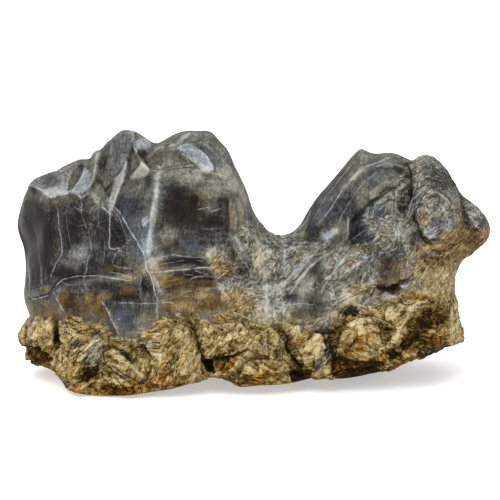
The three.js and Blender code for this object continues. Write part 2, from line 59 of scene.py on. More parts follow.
# The show face is drawn as a visitor sees it, 1.4 m away and 10 degrees above level. A drawing
# point is (along, up), in millimetres on the plane that faces the eye at the point it looks at.
EYE_DISTANCE = 1400.0
EYE_RISE = math.radians(10.0)
EYE_AIM = (-0.82, 3.43, 86.5)  # the point that the eye looks at, in space
AIM_ALONG = -2.5               # the same point in the drawing
AIM_UP = 87.3
VIEW_WIDTH = 338.5             # how much the camera takes in across that plane, in mm
SENSOR_WIDTH = 36.0
BACK_FOLD = -0.25              # the back repeats the front's drawing, folded over at a quarter depth


def linear(hex_colour):
    """The linear colour that Blender uses for an sRGB hex value."""
    channels = [int(hex_colour[i:i + 2], 16) / 255 for i in (1, 3, 5)]
    return tuple(c / 12.92 if c <= 0.04045 else ((c + 0.055) / 1.055) ** 2.4 for c in channels)


# ---------- lines, facets and patches of the drawing ----------

# Calcite veins, and painted highlights along ridges and edges: (line, width, strength). Lines that cross
# or lie close are in different families, because each family keeps only the nearest of its lines.
UPRIGHT_VEINS = [
    ([(66.5, 145.5), (59.5, 137.5), (52.5, 127.5), (46, 118), (41.5, 109.5)], 0.6, 0.35),
    ([(5.5, 90.5), (3, 82), (4, 72.5), (6.5, 60.5)], 0.7, 0.45),
    ([(90, 111.5), (87.5, 106.5), (84, 99), (80, 92.5)], 0.6, 0.4),
    ([(100.5, 111), (97.5, 103.5), (98.5, 95.5)], 0.6, 0.45),
    ([(85, 83.5), (82, 78), (80.5, 71), (83, 65)], 0.8, 0.45),
    ([(108.5, 128), (106.5, 118.5), (104, 110.5), (101.5, 103.5)], 0.8, 0.45),
    ([
        (-133, 115), (-132.5, 107.5), (-132, 101), (-130.5, 94), (-130, 87.5), (-131, 82.5),
        (-134, 78.5), (-136, 74), (-137.5, 69),
    ], 0.6, 0.45),
    ([
        (-122.5, 118), (-117, 113), (-115, 106.5), (-112, 99.5), (-111, 94), (-110, 88.5),
        (-111, 84), (-113, 79), (-112, 74),
    ], 0.52, 0.38),
    ([(-117, 122), (-116.5, 117), (-116.5, 113.5)], 0.45, 0.35),
    ([
        (-94, 116), (-90, 111.5), (-86, 104.5), (-83, 99.5), (-78.5, 92), (-75, 86), (-73, 79),
        (-72.5, 74), (-70, 70.5), (-68, 65), (-67, 59), (-65, 53.5), (-65.5, 41.5),
    ], 0.9, 0.75),
    ([
        (-65.5, 130.5), (-67, 124), (-68, 118), (-69.5, 111), (-70, 102), (-71, 94),
        (-71.5, 86),
    ], 0.68, 0.85),
    ([(19, 95.5), (20.5, 90.5), (21, 84), (20.5, 79), (21, 72.5), (23, 67.5)], 3, 0.55),
    ([(-136, 59), (-133, 54), (-131, 50), (-129, 46.5)], 0.75, 0.6),
    ([(-115, 79), (-113, 74), (-115, 69.5), (-115, 65), (-113, 60.5)], 0.6, 0.5),
    ([(-102.5, 52), (-98.5, 46), (-95.5, 38.5), (-92, 31), (-89, 26.5)], 0.6, 0.65),
    ([(-96.5, 161), (-96.5, 155), (-95.5, 148.5), (-94.5, 143)], 0.38, 0.45),
    ([(-7.5, 128), (-5, 121), (-4.5, 111), (-4, 102), (-3, 95.5)], 0.52, 0.5),
    ([(-9.5, 82.5), (-6, 79), (-2.5, 74), (-2, 67), (-1, 59)], 0.45, 0.45),
    ([(-148, 104.5), (-146.5, 94), (-145.5, 84), (-144.5, 74), (-144, 60.5)], 0.6, 0.12),
    ([(-153, 79), (-151.5, 67), (-152, 56)], 0.9, 0.35),
    ([(-144.5, 76.5), (-144, 67), (-144, 59)], 1.6, 0.2),
    ([(-105.5, 116), (-105, 109), (-105, 102)], 0.4, 0.25),
    ([(-127, 111.5), (-126, 101), (-123.5, 90), (-124.5, 79)], 0.35, 0.2),
    ([(-101.5, 95.5), (-100.5, 87.5), (-102.5, 76.5)], 0.35, 0.25),
    ([(-34.5, 123), (-37, 120), (-37.5, 117)], 0.4, 0.3),
    ([(-76.5, 70.5), (-76.5, 63.5), (-77, 57), (-76.5, 51.5)], 0.45, 0.4),
    ([(7.5, 75), (9, 67), (8.5, 59), (9.5, 50), (8.5, 41.5)], 3.4, 0.5),
    ([(20, 53.5), (20.5, 46.5), (20.5, 40)], 3, 0.5),
    ([(13.5, 50), (14.5, 41.5)], 0.6, 0.5),
    ([(64, 108.5), (64, 102), (64, 97)], 0.7, 0.6),
    ([(128, 74), (127.5, 67)], 1.2, 0.5),
    ([(78.5, 79), (78, 72.5), (80, 65)], 0.83, 0.5),
    ([(53.5, 60.5), (55, 55), (56.5, 50)], 0.6, 0.4),
    ([(126, 118), (130, 113), (131.5, 106.5)], 1.2, 0.3),
]
LEVEL_VEINS = [
    ([(83, 140), (73.5, 132), (66.5, 122.5), (60.5, 112.5), (56.5, 103.5)], 0.6, 0.3),
    ([(85.5, 108.5), (92, 106.5), (100.5, 108.5), (107, 105.5)], 0.7, 0.45),
    ([(83, 99), (91, 97), (99, 98), (107, 95.5)], 0.6, 0.4),
    ([(108.5, 122), (114.5, 127.5), (123.5, 126), (129, 122), (135.5, 115)], 0.8, 0.5),
    ([(112, 143), (119.5, 146), (127, 144), (131.5, 138)], 0.6, 0.35),
    ([(111, 134.5), (118.5, 137.5), (126, 134.5), (133, 128)], 0.6, 0.35),
    ([(62, 58), (70.5, 55), (77.5, 57)], 0.8, 0.4),
    ([(23, 50), (32.5, 51.5), (43.5, 49.5), (53, 51)], 0.5, 0.4),
    ([
        (-151, 130.5), (-147.5, 129.5), (-143.5, 127.5), (-139.5, 124.5), (-137.5, 122.5),
        (-134, 123), (-130, 124), (-127, 125), (-125, 126), (-121.5, 125), (-118.5, 124.5),
        (-117, 122.5), (-115, 123.5), (-112, 125), (-109.5, 124), (-107, 120), (-104, 117),
        (-100.5, 114.5), (-97.5, 111.5),
    ], 0.68, 0.85),
    ([
        (-151, 53.5), (-144.5, 55), (-140, 56), (-137.5, 58), (-136, 60.5), (-133, 64.5),
        (-130, 67), (-124.5, 68.5), (-119, 69.5), (-107.5, 70), (-97.5, 68.5), (-90.5, 67.5),
        (-84, 66.5),
    ], 0.6, 0.55),
    ([(-70, 81), (-63.5, 82.5), (-53.5, 84), (-43, 82.5), (-34.5, 82.5)], 0.6, 0.5),
    ([(-70, 72), (-63.5, 72.5), (-46.5, 74), (-38.5, 75), (-29.5, 75)], 0.75, 0.85),
    ([(-43, 67), (-40, 69), (-33, 69.5), (-26, 69)], 0.68, 0.4),
    ([(-90.5, 51.5), (-85, 51.5), (-71.5, 51), (-58, 52), (-54, 51), (-50, 46)], 0.65, 0.55),
    ([(-42, 45.5), (-39, 49.5), (-35, 54), (-31.5, 57)], 0.6, 0.35),
    ([(-71, 141.5), (-63.5, 142), (-56.5, 143), (-50, 143.5), (-43, 145), (-40, 144)], 0.52, 0.7),
    ([(-34.5, 101), (-28.5, 101.5), (-21.5, 101.5)], 0.6, 0.2),
    ([(-33.5, 96), (-27, 97), (-19, 98)], 0.45, 0.175),
    ([(-33.5, 92), (-27, 91.5), (-21.5, 92.5)], 0.52, 0.175),
    ([(-132.5, 141.5), (-128.5, 141), (-125, 138)], 0.45, 0.6),
    ([(-94, 76.5), (-88.5, 75), (-84, 75)], 0.6, 0.5),
    ([(-37, 115), (-31, 116)], 0.6, 0.5),
    ([(-28.5, 113.5), (-23.5, 115)], 0.6, 0.4),
    ([(22.5, 93.5), (31.5, 92.5), (43.5, 92)], 0.52, 0.4),
    ([(23, 89.5), (31.5, 89.5), (39.5, 89.5)], 0.45, 0.4),
    ([(-62, 59.5), (-50, 59.5), (-36.5, 60.5), (-26, 61.5)], 0.6, 0.175),
    ([(-63.5, 57), (-53.5, 57), (-43, 55.5), (-33, 55)], 0.6, 0.2),
    ([(65, 86), (75.5, 84.5)], 0.6, 0.5),
    ([(89, 59), (93.5, 55.5), (97, 55)], 2.4, 0.7),
    ([(100.5, 62.5), (103, 63)], 2.2, 0.7),
    ([(85.5, 63), (82, 65), (78.5, 64.5)], 0.75, 0.6),
    ([(83, 144), (89, 145.5), (95.5, 145), (100.5, 143.5)], 0.75, 0.45),
]
CROSSING_VEINS = [
    ([(81.5, 112.5), (87, 116.5), (93.5, 121), (100.5, 124)], 0.6, 0.4),
    ([(65, 83.5), (59.5, 79), (54.5, 72.5), (49, 65.5), (46, 59)], 0.8, 0.45),
    ([(43.5, 87.5), (36.5, 82.5), (31.5, 76), (26.5, 69), (23, 60.5)], 0.8, 0.5),
    ([(116, 113), (120.5, 117), (127.5, 116), (131.5, 110.5)], 0.7, 0.35),
    ([
        (-97.5, 111.5), (-97.5, 104.5), (-97.5, 97.5), (-98, 92), (-97.5, 88.5), (-95.5, 87.5),
        (-92, 88.5), (-89, 88), (-86, 92), (-84.5, 94),
    ], 0.64, 0.6),
    ([(-111.5, 111.5), (-109.5, 116), (-107, 118)], 0.48, 0.5),
    ([(-126.5, 138), (-126.5, 132.5), (-126.5, 126)], 0.48, 0.35),
    ([(-114, 143), (-115, 139), (-118.5, 133.5), (-122.5, 128), (-124.5, 126)], 0.8, 0.6),
    ([(-85, 147), (-86, 140), (-88, 133.5), (-91, 128), (-92.5, 122.5), (-94.5, 116)], 0.48, 0.5),
    ([(-81, 162), (-81, 156.5), (-77.5, 150.5), (-75, 145.5), (-71, 141.5)], 0.56, 0.75),
    ([(-70, 151.5), (-66, 155), (-62, 156.5)], 0.48, 0.4),
    ([
        (-48, 151.5), (-43, 148.5), (-38.5, 144), (-35, 141.5), (-29.5, 139.5), (-23, 137.5),
        (-17.5, 135.5),
    ], 0.64, 0.5),
    ([(-36.5, 155), (-32.5, 151), (-29, 146), (-27.5, 143)], 0.48, 0.6),
    ([(-21.5, 149.5), (-19.5, 147)], 0.8, 0.8),
    ([(-17, 145), (-15.5, 143)], 0.88, 0.9),
    ([(-92, 86.5), (-94, 83.5), (-95.5, 79)], 0.56, 0.4),
    ([(68.5, 128), (66.5, 121), (65, 111)], 0.5, 0.12),
    ([(109, 119), (107, 113), (104.5, 107.5)], 1.12, 0.35),
    ([(114.5, 88.5), (119.5, 84.5), (126, 83.5)], 1.12, 0.4),
]
BAND_VEINS = [
    ([
        (-63.5, 144), (-65, 134.5), (-66, 128), (-67.5, 121), (-69, 113), (-69.5, 106.5),
        (-70, 99.5), (-71, 92.5), (-71.5, 86), (-72.5, 79),
    ], 4.4, 0.25),
    ([
        (91.5, 149.5), (83, 146), (74.5, 143), (66, 134), (57.5, 124), (50.5, 113),
        (43.5, 104.5),
    ], 0.7, 0.55),
    ([(50.5, 92), (43.5, 87.5), (34.5, 79), (28, 72.5), (21, 65), (12.5, 59.5)], 4.6, 0.42),
    ([(51.5, 85.5), (45, 82), (38, 76), (31.5, 68.5), (26, 60.5), (24.5, 57)], 1.1, 0.6),
    ([(62, 82), (58.5, 77), (55, 72.5), (48, 67)], 1.0, 0.5),
    ([(76, 84), (72, 79), (66.5, 75), (62, 72.5)], 2.2, 0.5),
    ([(-68, 69.5), (-65.5, 64.5), (-63.5, 59)], 4.0, 0.35),
    ([(-94, 113.5), (-91, 109), (-89, 103.5), (-87, 98), (-85, 92.5)], 0.45, 0.35),
    ([(-117.5, 103.5), (-109.5, 105), (-101.5, 101.5)], 0.35, 0.2),
    ([(-131, 65.5), (-123, 63), (-115, 64.5)], 0.4, 0.25),
    ([(-12.5, 96), (-10, 91.5), (-8, 87.5)], 3.2, 0.5),
]
VEIN_FAMILIES = {
    "upright": UPRIGHT_VEINS, "level": LEVEL_VEINS, "crossing": CROSSING_VEINS, "band": BAND_VEINS,
}

# Open cracks, dark seams, and painted shadows along grooves and in the cave, the same way.
STANDING_CRACKS = [
    ([(104, 146), (106, 141), (106.5, 136), (106, 128), (106, 122.5), (104, 118)], 1.3, 1.0),
    ([(108, 108.5), (110, 105), (110.5, 101), (112.5, 96), (116, 92.5), (120, 90.5)], 1.3, 1.0),
    ([
        (-44, 39.5), (-42, 36.5), (-39, 30), (-38.5, 25), (-36.5, 19.5), (-34.5, 14),
        (-33.5, 11.5),
    ], 1.0, 0.9),
    ([(18, 33), (20.5, 32), (22.5, 28), (22.5, 22.5), (24, 18.5), (28, 13), (31.5, 8)], 1.5, 1.0),
    ([(-17.5, 119), (-17, 111), (-16, 104.5)], 1.0, 0.8),
    ([(-11.5, 116), (-10, 107.5), (-10.5, 99.5)], 0.9, 0.5),
    ([(-81.5, 157), (-84, 151.5), (-85, 146), (-86, 140), (-86.5, 136)], 1.0, 0.8),
    ([(-138, 120.5), (-137.5, 114.5), (-136.5, 107.5)], 0.9, 0.7),
    ([(-111.5, 7.5), (-115, 2.5), (-117.5, -2)], 2.2, 1.0),
    ([(-102, 19.5), (-101.5, 14), (-100.5, 11)], 1.8, 0.9),
    ([(-101.5, 49.5), (-98, 42.5), (-94.5, 35), (-90.5, 27)], 0.7, 0.8),
    ([(86, 40), (88, 34.5)], 0.9, 0.8),
    ([(83, 31), (87, 26.5)], 1.1, 1.0),
    ([(54.5, 63.5), (55, 58), (56.5, 53.5)], 0.7, 0.6),
    ([(-134, 36), (-134.5, 29), (-133, 22.5)], 2.0, 0.6),
    ([(-70, 5.5), (-73, -0.5)], 1.3, 0.9),
    ([(-54.5, 18.5), (-55.5, 11.5), (-56.5, 4.5)], 1.0, 0.6),
    ([(-95.5, 136), (-97.5, 132), (-100, 128)], 0.6, 0.5),
    ([(-2, 56), (-0.5, 50), (1, 44.5)], 0.9, 0.5),
    ([(133, 53.5), (133, 45.5), (132, 38.5)], 0.9, 0.6),
    ([(96.5, 82.5), (98.5, 79)], 0.9, 0.8),
    ([(-102.5, 7), (-94.5, 1.5), (-90, -3.5), (-84.5, -8)], 1.1, 1.0),
    ([(-94.5, 9), (-88, 3.5), (-79, -2), (-75.5, -2.5)], 1.2, 1.0),
]
LYING_CRACKS = [
    ([
        (-151, 54.5), (-144.5, 56), (-140, 57), (-137.5, 59), (-134, 65), (-130, 68),
        (-124.5, 69.5), (-117.5, 70.5), (-107, 71),
    ], 0.9, 0.8),
    ([(-63.5, 142.5), (-53.5, 143), (-43, 144)], 0.7, 0.8),
    ([(-63.5, 76), (-48.5, 76.5), (-33, 78.5)], 1.2, 0.5),
    ([
        (104, 137.5), (97.5, 130.5), (93.5, 129.5), (90, 126.5), (87, 124), (83.5, 122),
        (76, 116), (69, 107),
    ], 0.6, 0.5),
    ([(97.5, 135.5), (101.5, 137), (104.5, 138)], 0.8, 0.8),
    ([(-34.5, 14), (-27, 14), (-17.5, 15), (-9.5, 17.5), (-4.5, 19)], 1.3, 1.0),
    ([(-44.5, 148.5), (-40.5, 145), (-37, 142)], 0.8, 0.8),
    ([(120.5, 87.5), (126, 86.5), (131.5, 87.5), (136, 90), (141, 94)], 1.6, 0.9),
    ([(22.5, 91.5), (31.5, 91), (39.5, 91.5)], 0.6, 0.6),
    ([(8.5, 96), (16.5, 95.5), (31.5, 95.5), (46, 93.5)], 0.8, 0.7),
    ([(46, 67.5), (51.5, 66.5), (58.5, 66.5)], 1.0, 0.6),
    ([(56.5, 42), (58.5, 45.5), (61, 48), (64.5, 49.5)], 1.0, 0.9),
    ([(99, 28.5), (103, 33), (106.5, 40), (111, 46)], 1.0, 0.6),
    ([(45, 30), (50.5, 31), (54.5, 32)], 1.8, 0.9),
    ([(-14.5, 3.5), (-9.5, 7.5), (-4.5, 11.5)], 1.2, 0.6),
    ([(-126, 25), (-121, 23.5), (-116.5, 25), (-112, 25)], 1.4, 0.6),
    ([(-103.5, 134), (-101.5, 130), (-98.5, 125)], 0.6, 0.6),
    ([(92, 19.5), (99, 22.5), (106, 24.5)], 2.2, 0.9),
    ([(129.5, 36.5), (124.5, 32), (119.5, 28)], 1.2, 0.8),
    ([(-102.5, 1.5), (-96.5, -4.5), (-92, -10)], 1.1, 1.0),
    ([(-102.5, 11), (-96.5, 7), (-89.5, 1.5), (-82.5, -4.5)], 1.3, 1.0),
    ([(-60, 65), (-43, 67), (-27, 67.5)], 0.9, 0.5),
    ([(-60, 61), (-43, 62), (-28.5, 63)], 0.8, 0.5),
    ([(38, 83.5), (43.5, 88), (47.5, 90.5)], 0.8, 0.6),
    ([(26.5, 61.5), (34.5, 69), (39.5, 76)], 0.6, 0.4),
    ([(141.5, 121), (143.5, 113), (146.5, 103.5), (154, 99)], 1.1, 0.7),
    ([(5.5, 3.5), (12.5, 7.5), (20.5, 4.5)], 0.9, 0.6),
    ([(62.5, 20.5), (69, 19.5), (76, 21.5)], 1.0, 0.5),
    ([(-155, 21.5), (-149.5, 21), (-142, 17.5)], 1.4, 0.8),
    ([(83.5, 62.5), (88, 61), (93, 60.5), (97.5, 63)], 5.0, 1.0),
    ([(97.5, 63), (101, 65.5), (104.5, 67.5)], 1.2, 0.6),
]
CRACK_FAMILIES = {"standing": STANDING_CRACKS, "lying": LYING_CRACKS}

# Creases that sharpen the solid's own: (line, left width, right width, height).
SHOW_CREASES = [
    ([
        (-151, 130.5), (-143.5, 127.5), (-137.5, 122.5), (-130, 124), (-125, 126),
        (-118.5, 124.5), (-115, 123.5), (-112, 125), (-109.5, 124), (-104, 117),
        (-97.5, 111.5),
    ], 5, 3, 1.2),
    ([(-133, 141.5), (-127, 139), (-126.5, 132.5), (-126.5, 126)], 2, 4, -0.7),
    ([(-114, 141.5), (-115.5, 137.5), (-118.5, 133.5), (-122.5, 128), (-124.5, 126)], 3, 3, 0.8),
    ([(-105, 148.5), (-105, 143), (-106, 136), (-109, 130.5), (-112, 126.5)], 3, 5, 1.0),
    ([(-103.5, 134), (-101.5, 130), (-98.5, 125)], 2.5, 2.5, -0.6),
    ([(-95.5, 136), (-97.5, 132), (-100, 128)], 2.5, 2.5, -0.6),
    ([
        (-86, 148.5), (-88, 144), (-91, 140), (-94, 136), (-94, 132), (-95.5, 126.5),
        (-102, 121), (-104, 117),
    ], 2.5, 2.5, -0.8),
    ([(-86, 145), (-87, 138), (-89, 132), (-92, 124.5), (-94, 119), (-96.5, 112.5)], 4, 2, 1.4),
    ([(-81.5, 157), (-84, 151.5), (-85, 146), (-86.5, 137), (-84.5, 136)], 2, 3, -1.4),
    ([(-81, 162), (-81, 156.5), (-77.5, 150.5), (-75, 145.5), (-71, 141.5)], 2, 2.5, 0.9),
    ([(-78.5, 153), (-73.5, 151), (-70, 145.5)], 2.5, 2.5, -1.6),
    ([(-70, 151.5), (-66, 155), (-62, 156.5)], 2, 3, 1.2),
    ([(-71, 141.5), (-56.5, 143), (-40, 144)], 2.5, 2.5, -0.9),
    ([(-48, 151.5), (-38.5, 144), (-29.5, 139.5), (-23, 137.5)], 4, 2, 1.1),
    ([
        (-53.5, 160), (-48, 162), (-40, 162), (-32.5, 161), (-27, 157.5), (-23, 153.5),
        (-19.5, 148.5), (-15.5, 144),
    ], 2.5, 2.5, -1.0),
    ([(-133, 115), (-132, 101), (-130, 87.5), (-131, 82.5), (-136, 74)], 2.5, 2.5, -0.8),
    ([(-122.5, 118), (-117, 113), (-112, 99.5), (-110, 88.5), (-111, 84)], 2.5, 2.5, -0.7),
    ([(-94, 116), (-86, 104.5), (-78.5, 92), (-73, 79), (-70, 70.5), (-65, 53.5)], 2.5, 2.5, -0.7),
    ([
        (-151, 53.5), (-140, 56), (-136, 60.5), (-133, 64.5), (-130, 67), (-124.5, 68.5),
        (-107.5, 70), (-97.5, 68.5),
    ], 2, 3.5, -1.3),
    ([(-70, 81), (-53.5, 84), (-34.5, 82.5)], 2, 2, 0.6),
    ([(-65, 78), (-48.5, 79), (-29.5, 77)], 2.5, 2.5, -1.3),
    ([(-63.5, 68.5), (-46.5, 69.5), (-27, 67.5)], 2.5, 2.5, -1.2),
    ([(-60, 63.5), (-43, 64.5), (-26, 63)], 2, 2, -0.7),
    ([(-58, 59.5), (-43, 60.5), (-27, 59)], 2, 2, -0.7),
    ([(-17.5, 121), (-17.5, 111), (-17, 99.5)], 1.5, 3, -1.5),
    ([(-36.5, 101), (-27, 100), (-18, 101.5)], 1.5, 1.5, -0.7),
    ([(-36.5, 97), (-27, 96), (-18, 97.5)], 1.5, 1.5, -0.7),
    ([(-36.5, 92), (-27, 91.5), (-18, 92.5)], 1.5, 1.5, -0.7),
    ([(-102.5, 52), (-95.5, 38.5), (-89, 26.5)], 3, 2, 1.2),
    ([(19, 95.5), (21, 87.5), (20.5, 77), (23, 67.5)], 2, 2, -0.8),
    ([(22.5, 94), (35.5, 93.5), (48, 95)], 1.5, 1.5, -0.6),
    ([(22.5, 91.5), (35.5, 90.5), (46, 92)], 1.5, 1.5, -0.6),
    ([(51.5, 94), (43.5, 87.5), (34.5, 79), (28, 72.5), (21, 65), (18, 59)], 2.5, 2.5, 1.3),
    ([(51.5, 85.5), (43.5, 80.5), (36.5, 74), (30, 65), (24.5, 58)], 2.5, 2.5, 1.1),
    ([(48, 84), (39.5, 70.5), (31.5, 60.5), (21, 53.5)], 3, 3, -0.5),
    ([(62, 82), (58.5, 77), (55, 72.5), (48, 67)], 2.5, 2.5, 1.0),
    ([(77.5, 84), (72, 79), (65, 75), (58.5, 70.5)], 2.5, 2.5, 1.0),
    ([(82, 143.5), (75.5, 141), (68.5, 137), (62, 131.5), (55, 126), (48, 118), (43, 111)], 3, 2, 0.3),
    ([
        (104, 137.5), (97.5, 130.5), (92, 128.5), (89, 126), (85.5, 123), (80.5, 120),
        (74.5, 115), (68.5, 106.5),
    ], 2, 2.5, -1.2),
    ([(104.5, 145), (106.5, 136), (106, 128), (106, 122.5)], 3, 3, -1.5),
    ([(108, 113), (108, 108.5), (110.5, 102), (110, 96)], 2.5, 2.5, -1.4),
    ([(64, 87.5), (72, 86.5), (82, 89.5)], 2, 2, 1.2),
    ([(111, 99.5), (114, 95.5), (118, 92), (122.5, 90.5), (129.5, 90.5), (138.5, 90.5)], 2, 3, -1.6),
    ([(141.5, 121), (143, 111), (145, 102), (153, 99.5)], 2, 2, -2.0),
    ([(108.5, 122), (114.5, 127.5), (123.5, 126), (129, 122), (135.5, 115)], 2.5, 2, 0.9),
    ([(112, 143), (119.5, 146), (127, 144), (131.5, 138)], 2, 2, 0.6),
    ([
        (91.5, 149.5), (83, 146), (74.5, 143), (66, 134), (57.5, 124), (50.5, 113),
        (43.5, 104.5),
    ], 2.5, 2.5, 0.4),
    ([(-134, 38.5), (-134.5, 30), (-132.5, 21)], 2, 2, -2.2),
    ([(-44, 39.5), (-40.5, 33), (-38.5, 25), (-36.5, 19.5), (-34.5, 14), (-33, 11.5)], 2, 2, -1.8),
    ([(18, 33), (22.5, 26.5), (24, 18.5), (28, 13), (31.5, 8)], 2, 2, -2.4),
    ([(45, 30), (51.5, 32), (57, 34.5)], 2, 2, -2.0),
    ([(84, 36), (85.5, 31), (87.5, 25), (92, 18.5)], 2, 2, -2.2),
    ([(-34.5, 13.5), (-26, 13.5), (-17.5, 15), (-9.5, 17.5), (-4.5, 19)], 2, 3, -2.4),
    ([(112, 50), (106, 45.5), (99, 36.5), (95.5, 28), (92, 19.5)], 2, 4, 2.4),
    ([(-155, 21.5), (-146, 20.5), (-136.5, 13)], 2, 3, -2.4),
]
